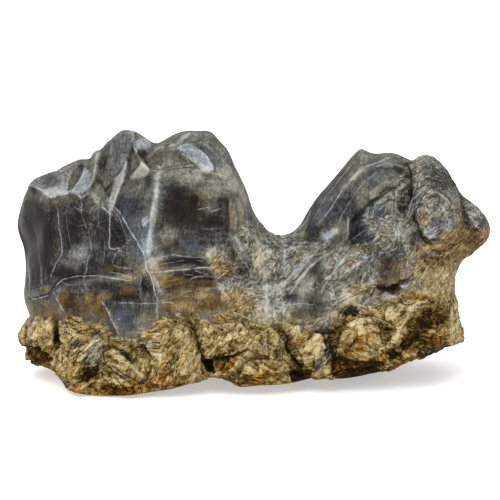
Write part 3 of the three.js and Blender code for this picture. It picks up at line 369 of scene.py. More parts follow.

# Facets and slabs with straight sides: (corners, tone, warmth, flatness, lift, lean along, lean up).
# Tone and warmth run from -1 to 1, lift is in mm, and a lean is mm of height per mm. The lightness is
# partly the rock's own and partly painted light and shade: lit slabs are lighter, and faces in shade under
# the slabs are darker.
SHOW_FACETS = [
    ([
        (-151, 130.5), (-146, 136), (-132.5, 141), (-125, 138), (-126.5, 126), (-130, 124),
        (-136.5, 123), (-143.5, 127.5),
    ], 0.18, -0.15, 0.8, 0.0, 0.0, 0.0),
    ([
        (-123, 141), (-116.5, 147), (-113.5, 144), (-116.5, 137), (-122.5, 128.5),
        (-125, 126.5), (-126, 134.5),
    ], -0.15, 0.1, 0.7, -0.8, 0.0, 0.0),
    ([
        (-115, 143.5), (-110, 140), (-111.5, 129.5), (-115, 125), (-123, 126), (-119, 132.5),
    ], 0.33, -0.3, 0.8, 0.4, 0.0, 0.0),
    ([
        (-112, 148.5), (-105, 153.5), (-105, 143), (-107, 134.5), (-111, 128), (-113, 129.5),
        (-111, 138),
    ], 0.21, 0.0, 0.7, 0.3, 0.0, 0.0),
    ([
        (-104, 154.5), (-97.5, 160.5), (-96, 151.5), (-95.5, 144), (-96, 136), (-100, 128),
        (-104, 132), (-107, 134.5), (-105, 143),
    ], -0.12, 0.0, 0.6, -0.3, 0.0, 0.0),
    ([
        (-96.5, 160.5), (-90, 166.5), (-81, 166.5), (-82.5, 155), (-86, 148.5), (-88, 144),
        (-92.5, 139.5), (-94.5, 134.5), (-100, 129.5), (-96, 136), (-94.5, 145), (-96, 151.5),
    ], 0.05, -0.1, 0.7, 0.3, 0.0, 0.0),
    ([
        (-86, 148.5), (-86.5, 140), (-90, 130), (-92.5, 121), (-96.5, 112.5), (-100, 114.5),
        (-98, 121), (-96, 128), (-94, 136), (-90.5, 140),
    ], 0.38, -0.15, 0.9, 0.8, 0.0, 0.0),
    ([
        (-109.5, 124.5), (-104, 128), (-98.5, 126.5), (-98, 121), (-100, 114.5), (-104, 118),
    ], 0.1, 0.1, 0.7, 0.2, 0.0, 0.0),
    ([
        (-81.5, 156.5), (-78.5, 149.5), (-76.5, 146), (-82.5, 139), (-86, 136), (-84.5, 145),
        (-83, 151.5),
    ], 0.05, 0.4, 0.9, -1.6, 0.15, 0.0),
    ([
        (-76.5, 147), (-70, 141.5), (-71.5, 138), (-77, 136), (-84, 134.5), (-81.5, 139.5),
    ], 0.42, 0.1, 0.8, -0.2, 0.0, 0.0),
    ([
        (-80.5, 161), (-75, 163), (-70, 160), (-69.5, 156.5), (-75, 155), (-79, 155),
    ], 0.33, -0.35, 0.8, 0.3, 0.0, 0.0),
    ([
        (-78.5, 153.5), (-70, 153.5), (-63, 155.5), (-62, 145), (-70, 143), (-75.5, 148.5),
    ], 0.08, 0.4, 0.3, -1.0, 0.0, 0.0),
    ([
        (-61.5, 157), (-54.5, 155.5), (-50, 150.5), (-43, 147), (-40, 144), (-56.5, 143.5),
        (-63, 143),
    ], 0.08, 0.1, 0.7, -0.3, 0.0, 0.0),
    ([
        (-58, 157), (-54, 160), (-48, 164.5), (-43, 166.5), (-45, 163), (-51.5, 159),
        (-55.5, 156.5),
    ], 0.33, 0.0, 0.6, 0.5, 0.0, 0.0),
    ([
        (-52, 155.5), (-46, 159), (-42, 158.5), (-37.5, 155.5), (-31, 150.5), (-27.5, 145),
        (-27.5, 141), (-30.5, 140), (-36.5, 144), (-43, 149.5), (-46.5, 153),
    ], 0.3, -0.4, 0.7, 0.4, 0.0, 0.0),
    ([
        (-48, 162), (-43, 162.5), (-33, 159), (-26, 152.5), (-21.5, 145), (-27, 143),
        (-31, 151.5), (-37.5, 157), (-43, 160.5),
    ], -0.07, -0.3, 0.6, -0.8, 0.0, 0.0),
    ([
        (65, 106.5), (73.5, 113), (80, 117), (88, 118), (89.5, 111), (84, 99.5), (80, 92),
        (66.5, 90), (64.5, 97.5),
    ], -0.1, -0.4, 0.2, -0.3, 0.0, 0.0),
    ([
        (78.5, 126.5), (88, 134), (97.5, 134), (97.5, 132), (88, 128.5), (81.5, 122),
        (78, 122),
    ], 0.3, 0.1, 0.2, 0.6, 0.0, 0.0),
    ([
        (38, 79), (48, 85.5), (51.5, 82), (46, 68.5), (32.5, 59), (23, 55), (22, 59),
        (31.5, 68.5),
    ], 0.3, -0.15, 0.2, -0.2, 0.0, 0.0),
    ([
        (24, 59), (32, 61.5), (52.5, 60.5), (53.5, 48), (50.5, 39.5), (25, 39.5), (22.5, 50),
    ], 0.2, 0.0, 0.0, 0.0, 0.0, 0.0),
    ([
        (53, 92), (62.5, 95), (63, 87.5), (57, 75), (47, 68.5), (49.5, 79), (53, 84.5),
    ], 0.05, 0.0, 0.3, 0.5, 0.0, 0.0),
    ([(85.5, 82), (100.5, 82), (100.5, 65.5), (87.5, 64.5), (83, 72.5)], 0.0, 0.3, 0.9, -0.8, 0.0, 0.0),
    ([
        (114.5, 99.5), (119.5, 102), (124.5, 101), (124.5, 95.5), (118, 94),
    ], 0.55, -0.7, 0.0, 0.3, 0.0, 0.0),
    ([
        (43.5, 110.5), (55, 124.5), (65, 133.5), (66.5, 121), (64, 111), (51.5, 104.5),
    ], 0.06, -0.25, 0.4, -0.2, 0.0, 0.0),
    ([(-33, 88), (-21.5, 88), (-19, 84.5), (-21.5, 80.5), (-31.5, 81)], 0.2, 0.15, 0.5, 0.6, 0.0, 0.0),
    ([
        (-155.5, 33), (-150, 38.5), (-138, 40), (-134.5, 34.5), (-135, 23), (-138, 18.5),
        (-149, 21.5), (-153, 26.5),
    ], 0.25, 0.1, 0.3, 0.4, 0.0, 0.0),
    ([
        (-151.5, 21), (-139.5, 18.5), (-135, 11.5), (-151.5, 11.5), (-154, 17),
    ], -0.9, 0.4, 0.0, -0.8, 0.0, 0.0),
    ([
        (-130, 22.5), (-121.5, 21.5), (-113.5, 22.5), (-112, 18.5), (-117.5, 9.5),
        (-121.5, -2.5), (-130, -0.5), (-134, 9),
    ], 0.05, 0.1, 0.3, 0.5, 0.0, 0.0),
    ([
        (-112, 22.5), (-105.5, 28.5), (-102, 23), (-104, 11.5), (-107, 8), (-116.5, 9),
        (-116.5, 14),
    ], 0.05, -0.8, 0.6, 0.8, 0.0, 0.0),
    ([(-123, -9), (-115, -1.5), (-111, -3.5), (-115, -10)], 0.75, 0.2, 0.5, 0.8, 0.0, 0.0),
    ([(-108, -8), (-105, -0.5), (-103.5, -7.5)], 0.6, 0.1, 0.5, 0.6, 0.0, 0.0),
    ([
        (-100.5, 18.5), (-92, 19.5), (-84, 11.5), (-73.5, 2), (-75, -1.5), (-87, 4.5),
        (-98.5, 10),
    ], 0.5, 0.1, 0.5, 0.9, 0.0, 0.0),
    ([(-115, 7.5), (-106, 9), (-104, 0.5), (-111, -0.5), (-115, 2)], -0.5, -0.5, 0.4, -1.0, 0.0, 0.0),
    ([
        (-34.5, 30), (-26, 36.5), (-9.5, 38.5), (-4, 32.5), (-4.5, 19.5), (-17.5, 16),
        (-34.5, 15),
    ], -0.05, 0.0, 0.4, 1.0, 0.0, 0.03),
    ([(-27, 13), (-9.5, 16), (-14.5, 7.5), (-21.5, 3.5), (-26, 7.5)], -0.35, 0.85, 0.6, -2.0, 0.0, 0.1),
    ([(-33, 12), (-27.5, 12), (-27.5, 5.5), (-31, 6)], -1.0, 0.0, 0.0, -2.4, 0.0, 0.0),
    ([
        (-4, 11.5), (5.5, 13.5), (18, 12), (26, 5.5), (20, -2.5), (-6, -4.5), (-12, -2.5),
    ], 0.1, 0.1, 0.5, 1.0, 0.0, 0.0),
    ([
        (24.5, 34.5), (31.5, 36), (32.5, 23), (34.5, 11.5), (30, 11.5), (26, 21),
    ], 0.3, 0.2, 0.5, 0.8, 0.0, 0.0),
    ([(24.5, 6), (39.5, 6), (38, -1.5), (26, -2.5)], -0.9, 0.0, 0.0, -1.6, 0.0, 0.0),
    ([
        (36, 24.5), (41.5, 30), (45.5, 29), (48, 21), (43.5, 19.5), (39.5, 13), (39.5, 7),
        (35.5, 9.5), (33.5, 18.5),
    ], 0.7, 0.0, 0.7, 1.0, 0.0, 0.0),
    ([
        (46, 19.5), (51.5, 22.5), (54.5, 19.5), (51.5, 11.5), (46, 4.5), (42, 9), (42, 15),
    ], -0.35, -0.7, 0.6, 0.3, 0.0, 0.0),
    ([(47, 14), (50.5, 14), (49.5, 6), (46, 2.5), (41.5, 3.5), (46, 9)], 0.75, 0.0, 0.5, 0.6, 0.0, 0.0),
    ([
        (60.5, 33), (65, 38.5), (77.5, 41.5), (87.5, 32), (89.5, 23), (89, 14), (80, 11.5),
        (66.5, 13), (57, 18.5), (58.5, 26.5),
    ], 0.2, 0.25, 0.3, 1.2, 0.0, 0.03),
    ([(53, 17), (66.5, 11.5), (88, 11.5), (88, 7), (65, 4.5), (53, 4)], -0.6, 0.4, 0.3, -1.0, 0.0, 0.0),
    ([(51.5, 3.5), (66.5, 6), (91, 9), (80, 0.5), (58.5, -1.5)], -0.7, 0.0, 0.0, -1.6, 0.0, 0.0),
    ([
        (91, 19.5), (95.5, 30), (100.5, 38.5), (104.5, 46.5), (112.5, 51), (106, 41.5),
        (102.5, 32), (97, 24.5),
    ], 0.8, 0.15, 0.6, 1.3, 0.0, 0.0),
    ([
        (97.5, 23), (103, 32), (106.5, 41.5), (113, 47.5), (126, 51.5), (132, 50), (132, 40),
        (124, 33), (109, 26.5),
    ], -0.65, 0.2, 0.7, -1.0, 0.0, 0.0),
    ([
        (109, 24.5), (124, 32), (130, 36.5), (129.5, 30.5), (124.5, 25.5), (112.5, 22.5),
    ], 0.0, 0.8, 0.5, 0.3, 0.0, 0.0),
    ([
        (133.5, 50), (137.5, 53.5), (140.5, 36.5), (142.5, 28), (138.5, 22.5), (131.5, 23.5),
        (129.5, 29), (133.5, 40),
    ], 0.5, -0.25, 0.3, 0.6, 0.0, 0.0),
    ([(112, 19.5), (120.5, 23), (131, 21.5), (124.5, 15), (112.5, 14)], -0.5, -0.8, 0.7, 0.0, 0.0, 0.0),
    ([(100.5, 15), (106, 18.5), (111, 19.5), (111, 12), (101.5, 11.5)], 0.15, -0.7, 0.6, 0.4, 0.0, 0.0),
    ([
        (91, 18.5), (97.5, 21.5), (107, 24.5), (102.5, 18.5), (97.5, 14), (91.5, 12),
    ], -0.85, -0.5, 0.0, -1.4, 0.0, 0.0),
    ([
        (59, 44.5), (62.5, 48.5), (66.5, 49.5), (71.5, 47.5), (70.5, 43.5), (62, 42.5),
    ], -0.75, -0.4, 0.0, -1.4, 0.0, 0.0),
    ([
        (82, 65.5), (86, 64), (91, 63), (95.5, 64.5), (99.5, 66.5), (104, 69), (101.5, 64.5),
        (97.5, 61), (95, 58), (89.5, 58), (86, 60.5), (83.5, 63),
    ], -1.0, 0.3, 0.0, -1.2, 0.0, 0.0),
]

# Soft patches: (along, up, half length, half height, turn, tone, warmth). Many of them are painted
# highlights, sheen and shade, and the rest are the rock's own shades.
SHOW_PATCHES = [
    (-136.5, 134, 7, 5, 0, -0.35, 0.0),
    (-133, 127.5, 8, 4, 0, 0.25, 0.0),
    (-144.5, 119, 9, 9, 0, 0.15, 0.0),
    (-140, 113, 3, 11, 0, 0.25, 0.0),
    (-133, 119, 2.5, 4, 0, 0.2, 0.35),
    (-123, 99.5, 8, 20, 0, -0.35, 0.15),
    (-101.5, 102, 6, 18, 0, -0.3, -0.35),
    (-92, 97.5, 6, 10, 0, -0.4, 0.1),
    (-81.5, 106.5, 9, 18, 30, -0.1, -0.75),
    (-75.5, 90.5, 4, 11, 0, 0.1, -0.5),
    (-47, 118, 17, 17, 0, -0.4, 0.3),
    (-71, 134.5, 3, 6, 0, -0.45, -0.3),
    (-43, 137.5, 16, 6, 0, 0.12, 0.0),
    (-25.5, 126, 12, 5, -6, 0.2, 0.2),
    (-10.5, 131.5, 7, 6, -20, 0.25, 0.05),
    (-8, 118, 3, 14, 0, 0.2, 0.25),
    (-36.5, 111, 13, 9, 0, -0.05, 0.1),
    (-27.5, 106.5, 9, 3.5, 0, -0.45, 0.2),
    (-58, 98, 9, 5, 10, 0.45, 0.0),
    (-59.5, 92, 3.5, 2.5, 0, 0.2, 0.7),
    (-73.5, 106.5, 3, 4, 0, 0.55, -0.4),
    (-42, 90, 9, 6, 0, 0.12, -0.8),
    (-107.5, 90.5, 6, 3, 0, 0.2, 0.2),
    (-130, 72.5, 9, 4, 0, -0.4, 0.0),
    (-117.5, 64.5, 16, 4, 0, -0.15, 0.1),
    (-101.5, 63.5, 9, 3, 0, -0.1, 0.1),
    (-97.5, 74, 7, 3, 0, 0.0, 0.7),
    (-98.5, 69, 14, 2, 0, 0.55, 0.1),
    (-85, 68.5, 7, 3, 0, 0.45, 0.45),
    (-67, 77, 5, 6, 0, 0.25, 0.1),
    (-61.5, 80, 5, 4, 0, 0.1, 0.35),
    (-46.5, 80, 16, 3, 0, -0.55, 0.0),
    (-44.5, 71, 15, 2.5, 0, -0.5, 0.15),
    (-59.5, 69.5, 7, 3, 0, 0.35, 0.1),
    (-44, 64.5, 19, 4, 0, -0.15, 1.2),
    (-33, 66.5, 9, 2.5, 0, -0.1, 1.0),
    (-43, 58, 20, 4, 0, 0.1, 0.5),
    (-46.5, 49.5, 11, 5, 0, 0.35, 0.3),
    (-25.5, 77, 7, 8, 0, 0.1, 0.4),
    (-17.5, 72.5, 7, 9, 0, 0.0, 0.4),
    (-19.5, 62.5, 6, 3, 0, 0.35, -0.1),
    (-17.5, 57, 5, 4, 0, 0.1, 0.2),
    (-14.5, 84.5, 4, 4, 0, -0.7, 0.2),
    (-8.5, 74, 4, 7, 0, -0.6, 0.1),
    (-4.5, 75, 3, 12, 0, -0.3, 0.0),
    (-14.5, 111, 3, 10, 0, 0.2, 0.4),
    (-73, 63.5, 3, 6, 0, -0.6, 0.4),
    (-56.5, 67, 4, 1.5, 0, -0.4, 0.3),
    (-128, 55, 5, 6, 0, 0.1, 0.45),
    (-140, 60.5, 3, 4, 0, 0.25, 0.6),
    (-112, 55.5, 3, 4, 0, 0.35, 0.5),
    (-107, 53.5, 4, 9, 0, 0.0, 0.55),
    (-100.5, 56, 5, 3, 0, 0.4, 0.7),
    (-141.5, 46.5, 11, 8, 0, 0.0, 0.2),
    (-88, 41.5, 9, 12, 20, 0.05, -0.65),
    (-73.5, 46.5, 9, 5, 0, -0.2, -0.1),
    (-87, 55, 12, 3, 0, -0.35, 0.5),
    (3, 84, 5, 12, 0, 0.25, 0.2),
    (6.5, 77, 9, 16, 0, 0.2, 0.05),
    (7, 46, 8, 9, 0, 0.5, -0.2),
    (16.5, 48, 5, 8, 0, 0.15, -0.35),
    (20.5, 46, 3, 9, 0, 0.4, -0.25),
    (14.5, 61.5, 8, 4, 0, 0.4, 0.0),
    (15, 69.5, 6, 4, 0, -0.35, 0.15),
    (14.5, 88.5, 5, 8, 0, -0.15, 0.25),
    (30, 86, 10, 6, 0, 0.2, 0.1),
    (29.5, 80.5, 7, 3, 0, 0.1, 0.4),
    (34, 99.5, 9, 3, 0, 0.0, -0.1),
    (39.5, 102, 5, 7, 0, -0.2, -0.5),
    (49, 97, 5, 4, 40, 0.45, -0.7),
    (54.5, 100, 3.5, 3, 0, 0.55, -0.5),
    (57, 90, 6, 4, 20, 0.2, 0.0),
    (26, 55, 7, 4, 0, -0.25, -0.6),
    (43.5, 48, 15, 7, 0, -0.05, 0.1),
    (62, 53.5, 9, 5, -20, 0.4, 0.0),
    (66.5, 79, 5, 5, 0, -0.05, 0.4),
    (68.5, 65.5, 8, 10, 0, 0.2, 0.1),
    (58.5, 129.5, 10, 5, 40, 0.0, 0.2),
    (70.5, 148.5, 10, 6, 30, 0.05, 0.25),
    (72, 140, 8, 4, 25, 0.25, 0.2),
    (91, 146, 9, 3, 0, 0.25, 0.0),
    (89, 141, 12, 3, 0, -0.05, -0.1),
    (77.5, 136, 6, 8, 20, -0.15, -0.2),
    (101.5, 139.5, 5, 3, 0, -0.3, 0.0),
    (84, 116, 6, 7, 0, 0.1, -0.6),
    (91, 120, 9, 9, 0, 0.0, 0.2),
    (98.5, 118, 3, 4, 0, -0.5, 0.2),
    (72, 89.5, 11, 2, 0, 0.15, 0.9),
    (89, 99.5, 8, 6, 0, 0.0, 0.15),
    (96.5, 90, 10, 3, 0, -0.2, 0.1),
    (93.5, 85.5, 8, 3, 0, -0.1, -0.5),
    (89.5, 80.5, 5, 3, 0, -0.25, 0.2),
    (106, 82, 7, 5, 0, 0.15, 0.25),
    (119.5, 138, 9, 12, 20, -0.2, 0.15),
    (112.5, 145, 6, 6, 0, 0.05, 0.25),
    (124.5, 124, 11, 4, 20, 0.25, 0.15),
    (113, 119, 4, 4, 0, 0.0, -0.3),
    (123.5, 113, 8, 4, 0, 0.2, 0.1),
    (115.5, 109.5, 6, 6, 0, -0.05, 0.35),
    (123.5, 105, 6, 4, 0, -0.15, -0.5),
    (134, 103, 5, 3, 0, -0.15, -0.5),
    (131, 97.5, 8, 3.5, 0, 0.1, 0.7),
    (140.5, 106.5, 6, 8, 0, 0.0, 0.35),
    (125.5, 89.5, 8, 1.5, 0, 0.4, 1.0),
    (119.5, 94, 6, 2, 0, -0.8, 0.2),
    (152, 106.5, 5, 5, 0, -0.3, 0.1),
    (156, 99, 3, 4, 0, 0.45, 0.7),
    (150, 99.5, 4, 3, 0, -0.4, 0.5),
    (136, 84, 12, 4, 35, 0.0, 0.95),
    (119.5, 79, 10, 5, 0, 0.1, 0.6),
    (109, 72.5, 9, 6, 0, 0.2, 0.3),
    (123.5, 70.5, 8, 6, 0, 0.35, 0.35),
    (131.5, 70.5, 4, 9, 0, 0.15, 0.75),
    (120.5, 60.5, 10, 4, 0, 0.3, 0.3),
    (91.5, 61, 8, 3.5, 0, -0.9, 0.1),
    (92, 55, 7, 2, 0, 0.35, -0.2),
    (99, 59.5, 5, 2, 0, -0.5, 0.4),
    (116, 55.5, 9, 3, 0, 0.3, 0.8),
    (-117.5, 35, 8, 3, 0, 0.35, 0.0),
    (-107.5, 29, 4, 4, 0, -0.1, -0.9),
    (-113.5, 2, 4, 6, 20, -0.9, 0.0),
    (-121, 9.5, 1.5, 1.5, 0, -0.9, 0.0),
    (-30.5, 9.5, 3.5, 4, 0, -1.0, 0.0),
    (31.5, 3.5, 8, 4, 0, -0.8, 0.0),
    (18, 18.5, 5, 7, 0, -0.3, -0.3),
    (8.5, 23, 5, 4, 0, -0.2, -0.6),
    (31.5, 26.5, 3, 5, 0, -0.35, 0.3),
    (38, 36, 9, 4, 0, -0.3, 0.1),
    (77.5, 4, 14, 4, 0, -1.0, 0.0),
    (116, 37, 5, 4, 0, -0.45, 0.0),
    (93.5, 28, 3, 5, 0, -0.3, 0.2),
    (-134, 30, 2.5, 8, 0, -0.7, 0.2),
    (-65, -0.5, 7, 4, 0, -0.1, 1.0),
    (-37.5, 4.5, 7, 3, 0, -0.2, -0.7),
    (-41, 18.5, 3, 5, 0, 0.0, -0.5),
    (3, 0.5, 6, 5, 0, 0.15, 0.8),
    (-7.5, 4, 3, 5, 20, -0.5, -0.6),
    (72, 20.5, 7, 2.5, 0, -0.2, 0.3),
    (75.5, 31, 9, 5, 0, 0.15, 0.4),
    (89, 46.5, 8, 5, 0, 0.3, 0.3),
    (-84, -4.5, 8, 4, 30, -0.1, 0.5),
]

# Touch-ups: more soft patches, laid over the others, which bring the lightness of each region right, with
# painted light and shade as well as the rock's own shades.
TOUCH_UPS = [
    (-79, 95.5, 14, 22, 15, 0.32, -0.3),
    (-68, 83.5, 8, 9, 0, 0.25, -0.1),
    (-62, 75, 22, 8, 0, 0.35, 0.3),
    (-58, 90, 12, 10, 0, 0.18, -0.1),
    (-78.5, 74, 14, 9, 0, 0.12, 0.2),
    (-48.5, 65.5, 26, 6, 0, 0.25, 0.8),
    (-35, 88.5, 10, 9, 0, 0.15, 0.0),
    (-31.5, 119, 9, 8, 0, 0.25, 0.1),
    (-68, 118.5, 7, 12, 0, 0.2, -0.1),
    (-117.5, 87.5, 9, 12, 0, 0.12, -0.2),
    (-88, 42.5, 22, 11, 0, 0.25, -0.25),
    (-43, 51, 22, 6, 0, -0.1, 0.6),
    (-34.5, 130.5, 13, 8, 0, 0.32, 0.0),
    (-20, 135.5, 10, 11, 0, 0.38, 0.0),
    (-11.5, 117, 9, 18, 0, 0.32, 0.05),
    (-9.5, 97, 7, 14, 0, 0.28, 0.1),
    (-24, 79, 8, 8, 0, 0.3, 0.1),
    (-101.5, 134.5, 6, 9, 0, 0.2, 0.0),
    (51.5, 118, 14, 14, 45, 0.0, -0.3),
    (84, 99.5, 10, 9, 0, 0.3, 0.1),
    (93.5, 118.5, 10, 16, 0, -0.25, -0.1),
    (105, 118.5, 6, 18, 0, -0.7, 0.2),
    (115.5, 88, 9, 5, 0, 0.5, 0.7),
    (128, 137.5, 13, 17, 0, -0.8, 0.0),
    (138.5, 118, 10, 9, 0, -0.25, 0.2),
    (62, 84.5, 11, 10, 0, -0.15, 0.1),
    (73.5, 79, 8, 8, 0, 0.3, 0.0),
    (55.5, 56, 13, 8, 0, 0.35, -0.1),
    (61, 101, 9, 8, 0, 0.5, 0.0),
    (136, 89.5, 17, 11, 30, 0.0, 0.8),
    (152, 90.5, 9, 8, 30, -0.5, 0.5),
    (157, 103.5, 5, 10, 0, -0.3, 0.2),
    (74.5, 49.5, 11, 6, 0, 0.35, -0.3),
    (7, 78, 8, 10, 0, 0.4, 0.1),
    (18.5, 56, 8, 8, 0, 0.1, 0.0),
    (34, 65.5, 9, 9, 45, 0.35, -0.1),
    (-33, 141.5, 8, 4, 0, 0.2, -0.1),
    (-146, 97, 12, 32, 0, -0.6, 0.2),
    (-117.5, 85.5, 9, 7, 0, 0.4, -0.35),
    (-123, 78, 8, 8, 0, 0.12, 0.0),
    (-86.5, 59.5, 9, 5, 0, 0.05, 0.75),
    (-28.5, 54, 13, 8, 0, 0.2, 0.3),
    (-120.5, 53.5, 14, 8, 0, -0.15, 0.3),
    (-102, 46, 6, 6, 0, -0.1, 0.8),
    (-7.5, 53, 12, 12, 0, -0.2, 0.3),
    (66.5, 116, 5, 14, 10, -0.1, -0.2),
    (76, 122.5, 12, 7, 40, 0.3, 0.1),
    (76, 87.5, 12, 4, 0, -0.6, 0.1),
    (31.5, 42, 14, 6, 0, -0.4, 0.0),
    (115.5, 45.5, 10, 6, 0, -0.1, 0.0),
    (72, 98, 7, 7, 0, -0.15, -0.3),
    (103, 101, 8, 8, 0, 0.65, 0.05),
    (127, 132, 8, 5, 0, -0.45, 0.0),
    (127, 98, 9, 4, 0, -0.35, 0.0),
    (7.5, 95.5, 14, 5, 0, 0.2, 0.0),
    (106, 65, 9, 7, 0, -0.2, -0.15),
    (81.5, 56, 12, 7, 0, -0.5, -0.2),
    (-73.5, 23.5, 10, 6, 0, -0.4, -0.75),
    (-47, 22.5, 9, 10, 0, 0.8, 0.1),
    (-143.5, 28, 10, 9, 0, 0.4, 0.1),
    (-134, 11.5, 6, 16, 0, 0.4, 0.1),
    (-119, 23, 11, 8, 0, -0.2, -0.2),
    (51.5, 30.5, 14, 14, 0, -0.5, -0.3),
    (62, 34.5, 11, 11, 0, -0.2, 0.1),
    (83, 15.5, 9, 8, 0, -0.4, 0.0),
    (-4, 23.5, 8, 9, 0, 0.6, -0.1),
    (51.5, 78.5, 7, 8, 0, 0.4, 0.0),
    (12.5, 77, 12, 12, 0, 0.3, 0.0),
    (63, 23, 8, 8, 0, -0.4, 0.0),
    (116, 24.5, 12, 6, 0, -0.6, -0.4),
    (-14.5, 23, 9, 8, 0, 0.5, 0.3),
    (-34.5, 10, 9, 10, 0, 0.5, 0.6),
    (-85, 14, 8, 4, -30, -0.35, -0.3),
    (-89, -7, 24, 5, 8, -0.4, 1.2),
    (-118.5, -6, 7, 4, 20, 0.2, 0.6),
    (83, 2.5, 10, 6, 0, 0.4, 0.0),
    (-9.5, 33, 22, 7, 0, -0.2, -0.1),
    (-117.5, 30.5, 6, 3, 0, 0.1, 0.3),
    (-120.5, 24.5, 8, 2.5, 0, -0.45, -0.3),
    (-90.5, 18.5, 11, 2.5, -36, -0.45, -0.5),
    (89, 144, 22, 7, 8, -0.25, 0.0),
    (50.5, 128, 28, 8, 50, -0.25, 0.05),
    (-82.5, 119, 8, 9, 0, -0.2, -0.3),
    (-58, 132, 9, 5, 0, -0.25, 0.0),
    (-63.5, 66.5, 11, 4, 0, 0.25, 0.0),
    (-105.5, 66.5, 16, 3, 4, 0.35, -0.1),
    (-68, 111.5, 2.8, 35, -8, 0.5, -0.2),
]

# Top of the ochre crust along the show face and along the back: points (along, up).
SHOW_CRUST_TOP = [
    (-161.5, 39.5), (-151.5, 40.5), (-141.5, 39.5), (-131, 40), (-121, 41.5),
    (-109.5, 38.5), (-100.5, 34.5), (-89, 25.5), (-80.5, 30.5), (-70, 37), (-60, 42.5),
    (-43, 41.5), (-29.5, 42), (-12.5, 47.5), (-2.5, 39.5), (11, 38.5), (24.5, 38),
    (34.5, 35), (51.5, 34), (58.5, 41.5), (65, 51), (82, 51.5), (99, 55.5), (119.5, 59.5),
    (136, 57.5), (153, 56),
]
BACK_CRUST_TOP = [
    (-160, 44), (-125, 35), (-92, 49), (-64, 34), (-30, 42), (0, 32), (28, 47), (58, 37), (95, 52),
    (130, 42), (160, 50),
]

# Where the polish gives way to rough rock: points (up, along), rough to the right of them.
ROUGH_EDGE = [
    (0, -10), (40, -14), (50, -20), (62, -24), (72, -31), (86, -34), (96, -16), (112, 0), (130, 40),
    (150, 70), (175, 80),
]

# Parts of the rough rock that are nearly as smooth as the polished massif: the right peak's left
# flank, the brown face under it, the level beds of the saddle and the slab above them.
SMOOTH_PARTS = [
    [
        (31.5, 94), (43.5, 128), (59.5, 149.5), (73.5, 157.5), (99, 153.5), (102.5, 143),
        (97.5, 133.5), (85.5, 124), (77.5, 114.5), (65, 89.5), (51.5, 86),
    ],
    [(85.5, 82.5), (101, 83.5), (101, 65), (87, 63.5), (83.5, 72.5)],
    [(24, 59), (32, 61.5), (52.5, 60.5), (53.5, 48), (50.5, 39.5), (25, 39.5), (22.5, 50)],
    [
        (38, 79), (48, 85.5), (51.5, 82), (46, 68.5), (32.5, 59), (23, 55), (22, 59),
        (31.5, 68.5),
    ],
]


# ---------- places in the drawing ----------

def step_between(low, high, values):
    """0 up to low, 1 from high on, and smooth in between."""
    share = np.clip((values - low) / (high - low), 0.0, 1.0)
    return share * share * (3.0 - 2.0 * share)


def in_drawing(places):
    """Where points in space, in mm, lie in the drawing. The back is folded over the ridge."""
    level, tilt = math.cos(EYE_RISE), math.sin(EYE_RISE)
    across = places[:, 0] - EYE_AIM[0]
    behind = places[:, 1] - EYE_AIM[1]
    behind = np.where(behind > 0.0, behind * BACK_FOLD, behind)
    above = places[:, 2] - EYE_AIM[2]
    scale = EYE_DISTANCE / (EYE_DISTANCE + behind * level - above * tilt)
    along = AIM_ALONG + across * scale
    up = AIM_UP + (above * level + behind * tilt) * scale
    return along, up


def near(along, up, points, reach):
    """The numbers of the points that lie within reach of a form's box."""
    corners = np.array(points)
    low, high = corners.min(axis=0) - reach, corners.max(axis=0) + reach
    inside = (along > low[0]) & (along < high[0]) & (up > low[1]) & (up < high[1])
    return np.nonzero(inside)[0]


def line_offsets(along, up, line):
    """Distance to a line, negative on its right, and how far each point lies past its ends, in mm."""
    distance = np.full(along.shape, 1e6)
    past = np.zeros(along.shape)
    last = len(line) - 2
    for number, (start, end) in enumerate(zip(line, line[1:])):
        step_along, step_up = end[0] - start[0], end[1] - start[1]
        length = math.hypot(step_along, step_up)
        off_along, off_up = along - start[0], up - start[1]
        share = (off_along * step_along + off_up * step_up) / length ** 2
        held = np.clip(share, 0.0, 1.0)
        away = np.hypot(off_along - held * step_along, off_up - held * step_up)
        side = np.where(step_along * off_up - step_up * off_along < 0.0, -1.0, 1.0)
        closer = away < np.abs(distance)
        beyond = np.zeros(along.shape)
        if number == 0:
            beyond = np.maximum(beyond, -share * length)
        if number == last:
            beyond = np.maximum(beyond, (share - 1.0) * length)
        distance = np.where(closer, side * away, distance)
        past = np.where(closer, beyond, past)
    return distance, past


# ---------- relief ----------

CREASE_END = 4.0          # a crease fades out over this length past its ends, in mm
CREASE_SHARPNESS = 1.3    # above 1, a crease is sharp at its line and soft at its foot
LINE_END = 2.0            # a vein or a crack fades out over this length past its ends, in mm
FACET_REACH = 2.5         # the most that a facet moves the stone to its plane, in mm
FACET_RIM = (-0.7, 0.5)   # a facet's shape takes over between these depths inside its rim, in mm
TONE_RIM = (-0.6, 0.6)    # and its tone between these
PATCH_RIM = (0.35, 1.25)  # a soft patch fades out between these shares of its half sizes

# Rolling surfaces and wandering edges: (height, width of the lumps, seed), both in mm.
ROUGH_LUMPS = (0.5, 7.0, 51)
POLISH_SWELL = (0.5, 16.0, 53)
POLISH_RIPPLE = (0.15, 5.0, 55)
CRUST_WANDER = (2.5, 9.0, 41)
ROUGH_WANDER = (6.0, 18.0, 43)

# Where each kind of rock takes over, in mm: how deep under the crust's top, how far right of the
# rough rock's edge, how far inside a smooth part, and how far behind the middle for the back.
CRUST_RISE = (-2.0, 8.0)
ROUGH_RISE = (-9.0, 9.0)
SMOOTH_RIM = (-4.0, 4.0)
BACK_RISE = (-12.0, 18.0)
SMOOTHING = 0.75  # how much of the roughness a smooth part loses

# What the heights of chips and splinters are divided by: in the crust, where the setting for the
# chip height scales them again, and in the rough rock.
CRUST_CHIPS, CRUST_SPLINTERS = 10.0, 7.0
ROUGH_CHIPS, ROUGH_SPLINTERS = 24.0, 9.0

# The thin beds of the crust: what they lie square to, and their height in mm.
BED_DIRECTION = (0.25, 0.3, 1.0)
BED_HEIGHT = 0.4
CHIP_SEED, SPLINTER_SEED, BED_SEED = 11, 23, 31
